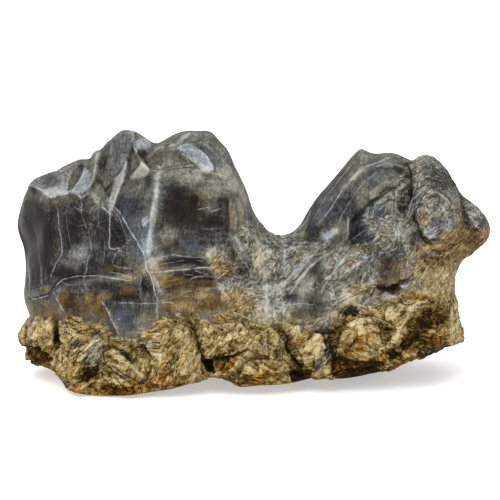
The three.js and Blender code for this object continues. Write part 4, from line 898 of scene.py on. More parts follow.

# Hollows, darkened with painted shade, and ridges, lightened with painted light: (strength, rounds of
# averaging), for the narrow and the broad ones.
NARROW_HOLLOWS = (1.6, 3)
BROAD_HOLLOWS = (0.35, 16)
FACING_ROUNDS = 2  # rounds of averaging of how far the stone faces up


def creases(along, up):
    """The height that the drawn creases add, in mm: sharp ridges and grooves that fade sideways."""
    height = np.zeros(along.shape)
    for line, left, right, rise in SHOW_CREASES:
        chosen = near(along, up, line, max(left, right))
        distance, past = line_offsets(along[chosen], up[chosen], line)
        share = np.where(distance > 0.0, distance / left, -distance / right)
        fade = np.clip(1.0 - past / CREASE_END, 0.0, 1.0)
        height[chosen] += rise * fade * np.maximum(0.0, 1.0 - share) ** CREASE_SHARPNESS
    return height


def scramble(cells, seed):
    """An even random number from 0 to 1 for each whole-number cell, always the same.

    The large whole numbers only mix the cell's place and the seed well.
    """
    mixed = cells[:, 0] * 374761393 + cells[:, 1] * 668265263 + cells[:, 2] * 2147483647
    mixed = mixed + seed * 144269
    mixed = (mixed ^ (mixed >> 13)) * 1274126177
    mixed = (mixed ^ (mixed >> 16)) & 0xFFFFFF
    return mixed / float(0x1000000)


def broken_faces(places, size, tilt, seed):
    """Height of rock broken into flat chips about `size` mm wide, and distance to the chip's rim.

    Each chip lies round its own random point, on a face of its own height and slope.
    """
    scaled = places / size
    home = np.floor(scaled).astype(np.int64)
    highest = np.full(len(places), -1e6)
    second = np.full(len(places), -1e6)
    flat = np.zeros(len(places))
    for shift in np.ndindex(3, 3, 3):
        cell = home + np.array(shift) - 1
        offset = scaled - cell
        for axis in range(3):
            offset[:, axis] -= 0.1 + 0.8 * scramble(cell, seed + axis)
        away = (offset ** 2).sum(axis=1)
        face = 0.35 * scramble(cell, seed + 7)
        for axis in range(3):
            face = face + tilt * (2.0 * scramble(cell, seed + 3 + axis) - 1.0) * offset[:, axis]
        rank = face - away
        second = np.maximum(second, np.minimum(rank, highest))
        flat = np.where(rank > highest, face - 0.3 * away, flat)
        highest = np.maximum(highest, rank)
    return size * flat, size * (highest - second)


def rolling(places, size, seed):
    """Smooth random height from -1 to 1, with lumps about as wide as size."""
    scaled = places / size
    home = np.floor(scaled).astype(np.int64)
    part = scaled - home
    blend = part * part * (3.0 - 2.0 * part)
    total = np.zeros(len(places))
    for corner in np.ndindex(2, 2, 2):
        weight = np.ones(len(places))
        for axis in range(3):
            weight = weight * (blend[:, axis] if corner[axis] else 1.0 - blend[:, axis])
        total += weight * (2.0 * scramble(home + np.array(corner), seed) - 1.0)
    return total


def lumps(places, height, width, seed):
    """Rolling height, from minus to plus the height given, with lumps about as wide as width."""
    return height * rolling(places, width, seed)


def beds(places, direction, thickness, seed):
    """Height, up to 0.8, of thin wavy beds: each stands out more and more, then drops off steeply."""
    across_beds = places @ (np.array(direction) / np.linalg.norm(direction)) / thickness
    level = across_beds + lumps(places, 1.3, 26.0, seed) + lumps(places, 0.4, 7.0, seed + 1)
    shelf = level - np.floor(level)
    return np.minimum(shelf, 4.0 * (1.0 - shelf))


# ---------- where each kind of rock lies ----------

def depth_in_crust(places, along, up):
    """How far below the top of the ochre crust each point lies, in mm, and negative above it."""
    show_along, show_up = zip(*SHOW_CRUST_TOP)
    back_along, back_up = zip(*BACK_CRUST_TOP)
    show = np.interp(along, show_along, show_up) - up
    back = np.interp(places[:, 0], back_along, back_up) - places[:, 2]
    behind = step_between(*BACK_RISE, places[:, 1])
    return show * (1.0 - behind) + back * behind


def rough_share(places, along, up):
    """1 in the rough rock of the saddle and the right peak, 0 in the polished massif.

    The edge between them wanders, and the smooth parts keep a quarter of the roughness.
    """
    edge_up, edge_along = zip(*ROUGH_EDGE)
    inside = along - np.interp(up, edge_up, edge_along)
    share = step_between(*ROUGH_RISE, inside + lumps(places, *ROUGH_WANDER))
    for corners in SMOOTH_PARTS:
        smooth = step_between(*SMOOTH_RIM, depth_inside(along, up, corners))
        share = share * (1.0 - SMOOTHING * smooth)
    return share


def depth_inside(along, up, corners):
    """How far inside a closed outline each point lies, in mm, and negative outside it."""
    nearest = np.full(along.shape, 1e6)
    inside = np.zeros(along.shape, dtype=bool)
    for start, end in zip(corners, corners[1:] + corners[:1]):
        step_along, step_up = end[0] - start[0], end[1] - start[1]
        off_along, off_up = along - start[0], up - start[1]
        length_squared = step_along ** 2 + step_up ** 2
        held = np.clip((off_along * step_along + off_up * step_up) / length_squared, 0.0, 1.0)
        nearest = np.minimum(nearest, np.hypot(off_along - held * step_along, off_up - held * step_up))
        if step_up != 0.0:
            crosses = (up >= min(start[1], end[1])) & (up < max(start[1], end[1]))
            inside ^= crosses & (along < start[0] + off_up / step_up * step_along)
    return np.where(inside, nearest, -nearest)


def tones_and_painted_light(along, up):
    """Lightness and warmth of the drawn facets and patches, both from -1 to 1. The lightness is partly the
    rock's own and partly painted highlight, sheen and shade.
    """
    tone = np.zeros(along.shape)
    warmth = np.zeros(along.shape)
    for corners, light, warm, *_ in SHOW_FACETS:
        chosen = near(along, up, corners, 1.0)
        share = step_between(*TONE_RIM, depth_inside(along[chosen], up[chosen], corners))
        tone[chosen] += light * share
        warmth[chosen] += warm * share
    for patch in SHOW_PATCHES + TOUCH_UPS:
        centre_along, centre_up, half_length, half_height, turn, light, warm = patch
        angle = math.radians(turn)
        off_along, off_up = along - centre_along, up - centre_up
        across = (off_along * math.cos(angle) + off_up * math.sin(angle)) / half_length
        over = (off_up * math.cos(angle) - off_along * math.sin(angle)) / half_height
        share = 1.0 - step_between(*PATCH_RIM, np.hypot(across, over))
        tone += light * share
        warmth += warm * share
    return np.clip(tone, -1.0, 1.0), np.clip(warmth, -1.0, 1.0)


def facet_heights(places, normals, along, up):
    """The height that the facets add, in mm: each is drawn towards one plane, lifted and tipped.

    Only the show face gets them, so points that face away from it are left out.
    """
    height = np.zeros(along.shape)
    for corners, _, _, flatness, lift, lean_along, lean_up in SHOW_FACETS:
        chosen = near(along, up, corners, 1.0)
        chosen = chosen[normals[chosen, 1] < 0.1]
        share = step_between(*FACET_RIM, depth_inside(along[chosen], up[chosen], corners))
        inner = chosen[share > 0.5]
        if len(inner) < 4:  # too few points to lay a plane through
            continue
        middle = places[inner].mean(axis=0)
        facing = np.linalg.svd(places[inner] - middle, full_matrices=False)[2][2]
        facing = facing if facing[1] < 0.0 else -facing
        lean = np.maximum(0.5, normals[chosen] @ facing)
        to_plane = np.clip((middle - places[chosen]) @ facing / lean, -FACET_REACH, FACET_REACH)
        centre_along, centre_up = np.mean(corners, axis=0)
        tipped = lean_along * (along[chosen] - centre_along) + lean_up * (up[chosen] - centre_up)
        height[chosen] += share * (flatness * to_plane + lift + tipped)
    return height


def line_values(along, up, lines):
    """Distance to the nearest drawn line, with a sign, its width in mm, and its strength.

    A point far from every line keeps the starting values, whose strength is nothing.
    """
    distance = np.full(along.shape, 9.0)
    width = np.full(along.shape, 0.5)
    strength = np.zeros(along.shape)
    for line, full_width, full_strength in lines:
        chosen = near(along, up, line, 6.0)
        away, past = line_offsets(along[chosen], up[chosen], line)
        closer = np.abs(away) < np.abs(distance[chosen])
        taper = np.clip(1.0 - past / LINE_END, 0.0, 1.0)
        distance[chosen] = np.where(closer, away, distance[chosen])
        width[chosen] = np.where(closer, full_width, width[chosen])
        strength[chosen] = np.where(closer, full_strength * taper, strength[chosen])
    return distance, width, strength


# ---------- the fine stone ----------

def vertex_places(mesh):
    """The mesh's vertices in mm, one row each."""
    flat = np.empty(len(mesh.vertices) * 3)
    mesh.vertices.foreach_get("co", flat)
    return flat.reshape(-1, 3) / MM


def vertex_normals(mesh):
    """The mesh's vertex normals, one row each."""
    flat = np.empty(len(mesh.vertices) * 3)
    mesh.vertex_normals.foreach_get("vector", flat)
    return flat.reshape(-1, 3)


def evened(mesh, values, times):
    """Values averaged over each vertex and its neighbours, several times."""
    ends = np.empty(len(mesh.edges) * 2, dtype=np.int64)
    mesh.edges.foreach_get("vertices", ends)
    first, second = ends[0::2], ends[1::2]
    count = np.bincount(ends, minlength=len(values)) + 1.0
    for _ in range(times):
        total = values.copy()
        total += np.bincount(first, weights=values[second], minlength=len(values))
        total += np.bincount(second, weights=values[first], minlength=len(values))
        values = total / count
    return values


def store(mesh, name, values):
    """Keeps one number for each vertex under a name that the material reads."""
    attribute = mesh.attributes.new(name, "FLOAT", "POINT")
    attribute.data.foreach_set("value", np.asarray(values, dtype=np.float32))


def hollowness(mesh, places, normals, strength, times):
    """How far the surface lies below its surroundings, in mm times strength, negative on ridges."""
    around = np.stack([evened(mesh, places[:, axis], times) for axis in range(3)], axis=1)
    return strength * ((around - places) * normals).sum(axis=1)


def carve(mesh, sizes):
    """Cuts the fine relief into the stone's mesh and stores where each finish lies."""
    places = vertex_places(mesh)
    normals = vertex_normals(mesh)
    along, up = in_drawing(places)
    crust_depth = depth_in_crust(places, along, up)
    crust = step_between(*CRUST_RISE, crust_depth + lumps(places, *CRUST_WANDER))
    rough = rough_share(places, along, up) * (1.0 - crust)
    polish = (1.0 - crust) * (1.0 - rough)
    # the drawn lightness holds the rock's own shades together with painted light and shade
    tone, warmth = tones_and_painted_light(along, up)

    # the chips are centred on the solid's surface, so that they neither swell nor shrink the stone
    low_places = places * (1.0, 1.0, 1.4)
    chips, chip_gap = broken_faces(places, sizes.chip_size / MM, 0.9, CHIP_SEED)
    splinters, splinter_gap = broken_faces(low_places, sizes.splinter_size / MM, 0.8, SPLINTER_SEED)
    shelves = beds(places, BED_DIRECTION, sizes.bed_thickness / MM, BED_SEED)
    chips -= chips.mean()
    splinters -= splinters.mean()

    height = creases(along, up) + facet_heights(places, normals, along, up)
    height += crust * (sizes.chip_height / MM * (chips / CRUST_CHIPS + splinters / CRUST_SPLINTERS))
    height += crust * BED_HEIGHT * (shelves - 0.5)
    height += rough * (lumps(places, *ROUGH_LUMPS) + chips / ROUGH_CHIPS + splinters / ROUGH_SPLINTERS)
    height += polish * (lumps(places, *POLISH_SWELL) + lumps(places, *POLISH_RIPPLE))

    # low parts that face the ground keep the solid's shape, and nothing goes below the ground
    underside = step_between(0.5, 0.85, -normals[:, 2]) * step_between(-9.0, -5.0, -places[:, 2])
    height *= 1.0 - underside
    carved = places + normals * height[:, None]
    carved[:, 2] = np.maximum(carved[:, 2], 0.0)
    mesh.vertices.foreach_set("co", (carved * MM).ravel())
    mesh.update()

    normals = vertex_normals(mesh)
    # painted shade and light: the material darkens the hollows and lightens the ridges
    hollow = hollowness(mesh, carved, normals, *NARROW_HOLLOWS)
    hollow += hollowness(mesh, carved, normals, *BROAD_HOLLOWS)
    store(mesh, "crust_depth", np.clip(crust_depth, -40.0, 40.0))
    store(mesh, "rough", rough)
    store(mesh, "tone", tone)
    store(mesh, "warmth", warmth)
    store(mesh, "hollow", np.clip(hollow, -1.5, 1.5))
    store(mesh, "chip", np.clip(np.minimum(chip_gap, 1.5 * splinter_gap), 0.0, 4.0))
    store(mesh, "facing_up", evened(mesh, normals[:, 2], FACING_ROUNDS))
    for family, lines in {**VEIN_FAMILIES, **CRACK_FAMILIES}.items():
        distance, width, strength = line_values(along, up, lines)
        store(mesh, family + "_distance", distance)
        store(mesh, family + "_width", width)
        store(mesh, family + "_strength", strength)


# ---------- the rock ----------

BLOCK_SIZE = 24.0   # width in mm of the crust's blocks, which are bedded each their own way
CHIP_WIDTH = 7.0    # width in mm of the crust's drawn chips
FLAKE_WIDTH = 2.6   # and of its flakes
GRAIN_DEPTH = 1.3   # how deep the bump makes the grain look, in mm
CRACK_DIRT_AND_SHADE = 0.85   # how much of a crack's colour is dirt and painted shadow
DIRT_AND_SHADE = "#120b04"
LINE_WAVER = 1.3    # how far a drawn vein or crack wavers, in mm

# How dull each finish is, from 0, a mirror, to 1.
POLISHED_DULLNESS, ROUGH_DULLNESS, VEIN_DULLNESS, CRUST_DULLNESS = 0.4, 0.7, 0.55, 0.88
SHEEN = 0.08        # how much of the light a face reflects without colour

MIX_A, MIX_B, MIXED = 6, 7, 2  # a colour Mix node's sockets


def per_metre(size):
    """The texture scale at which a feature is about `size` millimetres wide."""
    return 1.0 / (size * MM)


def even_grey(level):
    """A grey as a colour, for values that are blended as colours."""
    return (level, level, level)


class Nodes:
    """The nodes of one material, with a short method for each kind that the rock needs."""

    def __init__(self, tree):
        self.tree = tree
        self.place = self.add("ShaderNodeTexCoord").outputs["Object"]

    def add(self, kind, settings=None, links=None):
        """Adds a node with its settings and its incoming links, and returns it.

        A setting is a property of the node, the value of an input socket, or the stops of a ramp.
        """
        node = self.tree.nodes.new(kind)
        for name, value in (settings or {}).items():
            if name == "stops":
                ramp = node.color_ramp
                while len(ramp.elements) < len(value):
                    ramp.elements.new(0.5)
                for element, (position, colour) in zip(ramp.elements, value):
                    element.position = position
                    element.color = (*(linear(colour) if isinstance(colour, str) else colour), 1.0)
            elif isinstance(name, str) and hasattr(node, name):
                setattr(node, name, value)
            else:
                node.inputs[name].default_value = value
        for name, socket in (links or {}).items():
            self.tree.links.new(socket, node.inputs[name])
        return node

    def read(self, name):
        """A number that carve stored on the mesh."""
        return self.add("ShaderNodeAttribute", {"attribute_name": name}).outputs["Fac"]

    def noise(self, size, detail=3.0, roughness=0.55, distortion=0.0, vector=None):
        """A cloudy pattern from 0 to 1, with features about size mm wide."""
        settings = {
            "Scale": per_metre(size), "Detail": detail, "Roughness": roughness, "Distortion": distortion,
        }
        return self.add("ShaderNodeTexNoise", settings, {"Vector": vector or self.place}).outputs["Fac"]

    def math(self, operation, first, second, third=None):
        """The result of a Math node, whose inputs are numbers or other nodes' outputs."""
        settings, links = {"operation": operation}, {}
        for socket, value in enumerate((first, second, third)):
            if isinstance(value, (int, float)):
                settings[socket] = value
            elif value is not None:
                links[socket] = value
        return self.add("ShaderNodeMath", settings, links).outputs[0]

    def vector(self, operation, settings, links, output=0):
        """The result of a Vector Math node."""
        settings = {"operation": operation, **settings}
        return self.add("ShaderNodeVectorMath", settings, links).outputs[output]

    def sum(self, start, *parts):
        """The start, plus for each part its factor times how far its value is from its middle."""
        total = start
        for value, factor, middle in parts:
            total = self.math("MULTIPLY_ADD", value, factor, total)
            if middle:
                total = self.math("SUBTRACT", total, factor * middle)
        return total

    def between(self, value, low, high, bottom=0.0, top=1.0):
        """Bottom where the value is at low, top where it is at high, and smooth in between."""
        settings = {
            "interpolation_type": "SMOOTHSTEP", "From Min": low, "From Max": high,
            "To Min": bottom, "To Max": top,
        }
        return self.add("ShaderNodeMapRange", settings, {"Value": value}).outputs["Result"]

    def blend(self, share, under, over):
        """The colour under, or the colour over where the share is 1."""
        settings, links = {"data_type": "RGBA"}, {0: share}
        for socket, colour in ((MIX_A, under), (MIX_B, over)):
            if isinstance(colour, str):
                settings[socket] = (*linear(colour), 1.0)
            elif isinstance(colour, tuple):
                settings[socket] = (*colour, 1.0)
            else:
                links[socket] = colour
        return self.add("ShaderNodeMix", settings, links).outputs[MIXED]

    def ramp(self, level, *stops):
        """The colour at a level, between stops of (level, colour)."""
        return self.add("ShaderNodeValToRGB", {"stops": stops}, {"Fac": level}).outputs["Color"]

    def laid(self, turn, stretch, vector=None):
        """Coordinates that draw a pattern out along a direction turned down from level, in degrees."""
        turned = (0.0, math.radians(turn), 0.0)
        settings = {"vector_type": "TEXTURE", "Rotation": turned, "Scale": stretch}
        return self.add("ShaderNodeMapping", settings, {"Vector": vector or self.place}).outputs[0]

    def hairlines(self, pattern, width):
        """1 on the thin wandering lines where a pattern passes its middle value."""
        away = self.math("ABSOLUTE", self.math("SUBTRACT", pattern, 0.5), 0.0)
        return self.between(away, 0.0, width, 1.0, 0.0)

    def splinters(self, size, vector):
        """Flat chips that each tip their own way: height, two random numbers for each, and edges."""
        wavy_settings = {"Scale": per_metre(2.5 * size), "Detail": 2.0}
        wavy = self.add("ShaderNodeTexNoise", wavy_settings, {"Vector": vector}).outputs["Color"]
        swing = self.vector("MULTIPLY_ADD", {1: (1.2 * size * MM,) * 3}, {0: wavy, 2: vector})
        cells = self.add("ShaderNodeTexVoronoi", {"Scale": per_metre(size)}, {"Vector": swing})
        offset = self.vector("SUBTRACT", {}, {0: swing, 1: cells.outputs["Position"]})
        tip = self.vector("SUBTRACT", {1: (0.5, 0.5, 0.5)}, {0: cells.outputs["Color"]})
        slope = self.vector("DOT_PRODUCT", {}, {0: offset, 1: tip}, "Value")
        own = self.add("ShaderNodeSeparateColor", None, {"Color": cells.outputs["Color"]})
        height = self.math("MULTIPLY_ADD", slope, 1.6 * per_metre(size), own.outputs[0])
        edge_settings = {"feature": "DISTANCE_TO_EDGE", "Scale": per_metre(size)}
        edges = self.add("ShaderNodeTexVoronoi", edge_settings, {"Vector": swing}).outputs["Distance"]
        return height, own.outputs[1], own.outputs[2], self.between(edges, 0.0, 0.45 / size, 1.0, 0.0)

    def lines(self, families, ragged, halo):
        """How strongly the nearest drawn line of some families shows: a core inside a faint halo."""
        shown = 0.0
        for family in families:
            distance = self.sum(self.read(family + "_distance"), (ragged, LINE_WAVER, 0.5))
            ratio = self.math("DIVIDE", self.math("ABSOLUTE", distance, 0.0), self.read(family + "_width"))
            line = self.math(
                "MAXIMUM", self.between(ratio, 0.5, 0.15), self.between(ratio, 2.0, 0.0, 0.0, halo))
            line = self.math("MULTIPLY", line, self.read(family + "_strength"))
            shown = self.math("MAXIMUM", shown, line)
        return shown


def grain_patterns(nodes):
    """The mottling, grain, streaks, chips and beds that the kinds of rock share."""
    grain = SimpleNamespace()

    # mottling and grain of every kind of rock, from the widest to the finest
    grain.patchy = nodes.noise(16.0, 4.0, 0.6, 0.4)
    grain.mottled = nodes.noise(6.0, 4.0, 0.62, 0.5)
    grain.fine = nodes.noise(2.4, 5.0, 0.7)
    grain.specks = nodes.noise(0.95, 2.0, 0.6)

    # grain and streaks that stand nearly upright, rise to the right, or lie level
    grain.fall_grain = nodes.noise(1.3, 3.0, 0.65, 0.3, nodes.laid(-86.0, (4.0, 1.4, 0.6)))
    grain.slope_grain = nodes.noise(1.4, 3.0, 0.65, 0.3, nodes.laid(-48.0, (3.4, 1.4, 0.6)))
    grain.level_streaks = nodes.noise(7.0, 5.0, 0.66, 0.4, nodes.laid(3.0, (4.0, 2.0, 0.45)))
    grain.slope_streaks = nodes.noise(7.0, 5.0, 0.68, 0.5, nodes.laid(-48.0, (4.0, 1.6, 0.4)))
    grain.fall_streaks = nodes.noise(7.0, 5.0, 0.66, 0.5, nodes.laid(-84.0, (3.4, 1.6, 0.4)))

    # every block of the crust is bedded its own way, none of them near upright
    blocks = nodes.add("ShaderNodeTexVoronoi", {"Scale": per_metre(BLOCK_SIZE)}, {"Vector": nodes.place})
    own_turn = nodes.add("ShaderNodeSeparateColor", None, {"Color": blocks.outputs["Color"]}).outputs[0]
    bedded = nodes.add("ShaderNodeVectorRotate", {"rotation_type": "Y_AXIS"}, {
        "Vector": nodes.place, "Center": blocks.outputs["Position"],
        "Angle": nodes.math("MULTIPLY_ADD", own_turn, 1.9, -0.7),
    }).outputs[0]
    chips = nodes.splinters(CHIP_WIDTH, nodes.laid(0.0, (1.5, 1.0, 0.8), bedded))
    grain.chip_height, grain.chip_first, grain.chip_second, grain.chip_edges = chips
    flakes = nodes.splinters(FLAKE_WIDTH, nodes.laid(0.0, (2.2, 1.0, 0.7), bedded))
    grain.flake_height, grain.flake_first, grain.flake_second, _ = flakes
    grain.laminae = nodes.noise(5.0, 3.0, 0.6, 0.8, nodes.laid(0.0, (4.0, 2.0, 0.55), bedded))
    grain.bed_grain = nodes.noise(1.4, 3.0, 0.65, 0.3, nodes.laid(0.0, (3.0, 1.4, 0.6), bedded))

    # the wrinkled layers of the rough rock, and the small steps of the crust's beds
    folds = nodes.noise(11.0, 1.6, 0.5, 1.4, nodes.laid(-42.0, (2.2, 1.4, 0.9)))
    layers = nodes.math("MULTIPLY_ADD", grain.fine, 0.5, nodes.math("MULTIPLY", folds, 6.5))
    grain.scales = nodes.math("FRACT", layers, 0.0)
    grain.ledges = nodes.math("FRACT", nodes.math("MULTIPLY", grain.laminae, 7.0), 0.0)

    grain.bed_lines = nodes.hairlines(grain.laminae, 0.035)
    grain.flake_lines = nodes.hairlines(grain.fine, 0.04)
    grain.seam_lines = nodes.hairlines(grain.mottled, 0.03)
    grain.slope_lines = nodes.hairlines(grain.slope_streaks, 0.02)
    grain.pale_lines = nodes.hairlines(grain.patchy, 0.012)
    grain.fall_lines = nodes.hairlines(grain.fall_streaks, 0.012)
    grain.ragged = nodes.noise(4.0, 4.0, 0.6)
    return grain


def stone_places(nodes, grain):
    """What carve stored, and how much of the surface is crust, rough rock and stained rock."""
    place = SimpleNamespace()
    place.tone, place.warmth = nodes.read("tone"), nodes.read("warmth")
    place.hollow, place.facing_up = nodes.read("hollow"), nodes.read("facing_up")
    place.crust_depth = nodes.read("crust_depth")
    ragged_depth = nodes.sum(
        place.crust_depth, (grain.mottled, 14.0, 0.5), (grain.fine, 6.0, 0.5),
        (grain.chip_first, 4.0, 0.5))
    place.crust = nodes.between(ragged_depth, -2.2, 2.2)
    place.rough = nodes.between(nodes.sum(nodes.read("rough"), (grain.patchy, 0.9, 0.5)), 0.25, 0.75)
    place.stained = nodes.between(
        nodes.sum(place.crust_depth, (grain.patchy, 30.0, 0.5)), -24.0, 0.0)
    return place


def limestone_colour(nodes, grain, place, colours):
    """The polished and the rough rock, with a pale, cooler wash on what faces up that is partly dust and
    partly painted sheen of the sky, and with painted shade in its hollows and painted light on its ridges.
    """
    # painted sheen: what faces up is paler and bluer, partly as dust and partly as the sky's reflection
    dust_and_sky_sheen = nodes.between(nodes.sum(place.facing_up, (grain.patchy, 0.7, 0.5)), 0.1, 0.8, 0.0, 0.22)
    polished_level = nodes.sum(
        dust_and_sky_sheen, (place.tone, 0.62, -0.39), (grain.patchy, 0.4, 0.5), (grain.mottled, 0.25, 0.5),
        (grain.fine, 0.4, 0.5), (grain.fall_grain, 0.3, 0.5), (grain.level_streaks, 0.18, 0.5),
        (grain.fall_streaks, 0.22, 0.5), (grain.pale_lines, 0.12, 0.0), (grain.fall_lines, 0.2, 0.0),
        (grain.flake_first, 0.06, 0.5), (grain.specks, 0.3, 0.5))
    rough_level = nodes.sum(
        nodes.math("MULTIPLY", dust_and_sky_sheen, 0.4), (place.tone, 0.32, -1.45), (grain.patchy, 0.3, 0.5),
        (grain.mottled, 0.4, 0.5), (grain.fine, 0.4, 0.5), (grain.slope_grain, 0.5, 0.5),
        (grain.slope_streaks, 0.3, 0.5), (grain.chip_first, 0.08, 0.5), (grain.flake_first, 0.1, 0.5),
        (grain.seam_lines, -0.2, 0.25), (grain.slope_lines, -0.1, 0.25), (grain.pale_lines, 0.25, 0.0),
        (grain.fall_lines, 0.2, 0.1), (grain.specks, 0.25, 0.5), (grain.scales, 0.33, 0.5))
    levels = {0: place.rough, 2: polished_level, 3: rough_level}
    level = nodes.add("ShaderNodeMix", {"data_type": "FLOAT"}, levels).outputs[0]
    # real staining near the crust; painted shade in the hollows and painted light on the ridges
    level = nodes.sum(level, (place.stained, 0.16, 0.0), (place.hollow, -0.12, 0.0))

    neutral = nodes.ramp(
        level, (0.0, "#1a1715"), (0.22, colours["dark_rock"]), (0.5, colours["grey_rock"]),
        (0.75, colours["pale_rock"]), (1.0, "#c9c8bd"))
    rusty = nodes.ramp(
        level, (0.0, "#150d05"), (0.22, "#382814"), (0.5, colours["rust"]), (0.75, "#a48b5c"),
        (1.0, "#d6c8a4"))
    slaty = nodes.ramp(
        level, (0.0, "#111214"), (0.22, "#25282c"), (0.5, colours["slate"]), (0.75, "#8e95a1"),
        (1.0, "#c9ced4"))
    warm = nodes.sum(
        place.warmth, (grain.mottled, 0.7, 0.5), (grain.level_streaks, 0.7, 0.5),
        (place.stained, 0.5, 0.0), (dust_and_sky_sheen, -1.2, 0.0), (place.rough, 0.15, 0.0))
    colour = nodes.blend(nodes.between(warm, 0.05, 0.85, 0.0, 0.95), neutral, rusty)
    return nodes.blend(nodes.between(warm, -0.05, -0.75, 0.0, 0.85), colour, slaty)


def crust_colour(nodes, grain, place, shaded_chip_edges, colours):
    """The ochre crust, darker with painted shade where it lies in shade, where it faces down, in its
    hollows and where it gapes between its chips.
    """
    # painted shade: where the drawn lightness is dark, the crust is darkened once more
    shade = nodes.math("MINIMUM", place.tone, 0.0)
    level = nodes.sum(
        0.52, (grain.mottled, 0.25, 0.5), (grain.fine, 0.4, 0.5), (grain.bed_grain, 0.7, 0.5),
        (grain.laminae, 0.8, 0.5), (grain.flake_first, 0.2, 0.5), (grain.chip_first, 0.14, 0.5),
        (grain.specks, 0.5, 0.5), (place.tone, 0.28, 0.0), (shade, 0.22, 0.0),
        (place.hollow, -0.15, 0.0), (grain.ledges, 0.2, 0.5), (grain.bed_lines, -0.36, 0.25),
        (grain.flake_lines, -0.1, 0.3), (shaded_chip_edges, -0.3, 0.0))
    # painted shade: what faces down is darker, as the shade under the crust's ledges
    down = nodes.between(place.facing_up, 0.1, -0.7, 0.0, 0.32)
    # painted shade in the narrow gaps between the chips
    painted_gap_shade = nodes.between(nodes.sum(nodes.read("chip"), (grain.fine, 3.0, 0.5)), 0.45, 0.0, 0.0, 0.16)
    level = nodes.math("SUBTRACT", level, nodes.math("ADD", down, painted_gap_shade))

    ochre = nodes.ramp(
        level, (0.0, "#211603"), (0.25, "#5c4510"), (0.45, colours["ochre_dark"]),
        (0.65, colours["ochre_light"]), (0.95, "#dccb9c"))
    orange = nodes.ramp(
        level, (0.0, "#221203"), (0.25, "#5a3806"), (0.45, "#80591f"), (0.65, "#ab823f"),
        (0.95, "#dcbc80"))
    greyish = nodes.ramp(
        level, (0.0, "#0e0c09"), (0.25, "#3a3526"), (0.45, "#67624d"), (0.65, "#908b72"),
        (0.95, "#cfcab2"))
    warm = nodes.sum(
        place.warmth, (grain.chip_second, 0.5, 0.5), (grain.patchy, 2.2, 0.5),
        (grain.flake_second, 0.3, 0.5), (place.crust_depth, 0.014, 24.0))
    colour = nodes.blend(nodes.between(warm, 0.25, 0.75), ochre, orange)
    return nodes.blend(nodes.between(warm, -0.3, -0.75, 0.0, 0.9), colour, greyish)


def rock_relief(nodes, grain, place, shaded_chip_edges):
    """Relief too fine for the mesh, as a height for the bump."""
    polished = nodes.sum(nodes.math("MULTIPLY", grain.mottled, 0.3), (grain.fine, 0.15, 0.5))
    rough = nodes.sum(
        nodes.math("MULTIPLY", grain.slope_streaks, 0.7), (grain.fine, 0.6, 0.5),
        (grain.mottled, 0.6, 0.5), (grain.scales, 0.9, 0.5), (grain.chip_height, 0.2, 0.5),
        (grain.flake_height, 0.15, 0.5), (grain.seam_lines, -0.4, 0.0), (grain.slope_lines, -0.25, 0.0))
    crust = nodes.sum(
        nodes.math("MULTIPLY", grain.chip_height, 0.5), (grain.flake_height, 0.3, 0.5),
        (grain.laminae, 1.0, 0.5), (grain.ledges, 0.5, 0.5), (grain.fine, 0.5, 0.5),
        (grain.bed_lines, -0.6, 0.0), (grain.flake_lines, -0.25, 0.0), (grain.bed_grain, 0.4, 0.5),
        (shaded_chip_edges, -0.6, 0.0), (grain.specks, 0.4, 0.5))
    return nodes.blend(place.crust, nodes.blend(place.rough, polished, rough), crust)


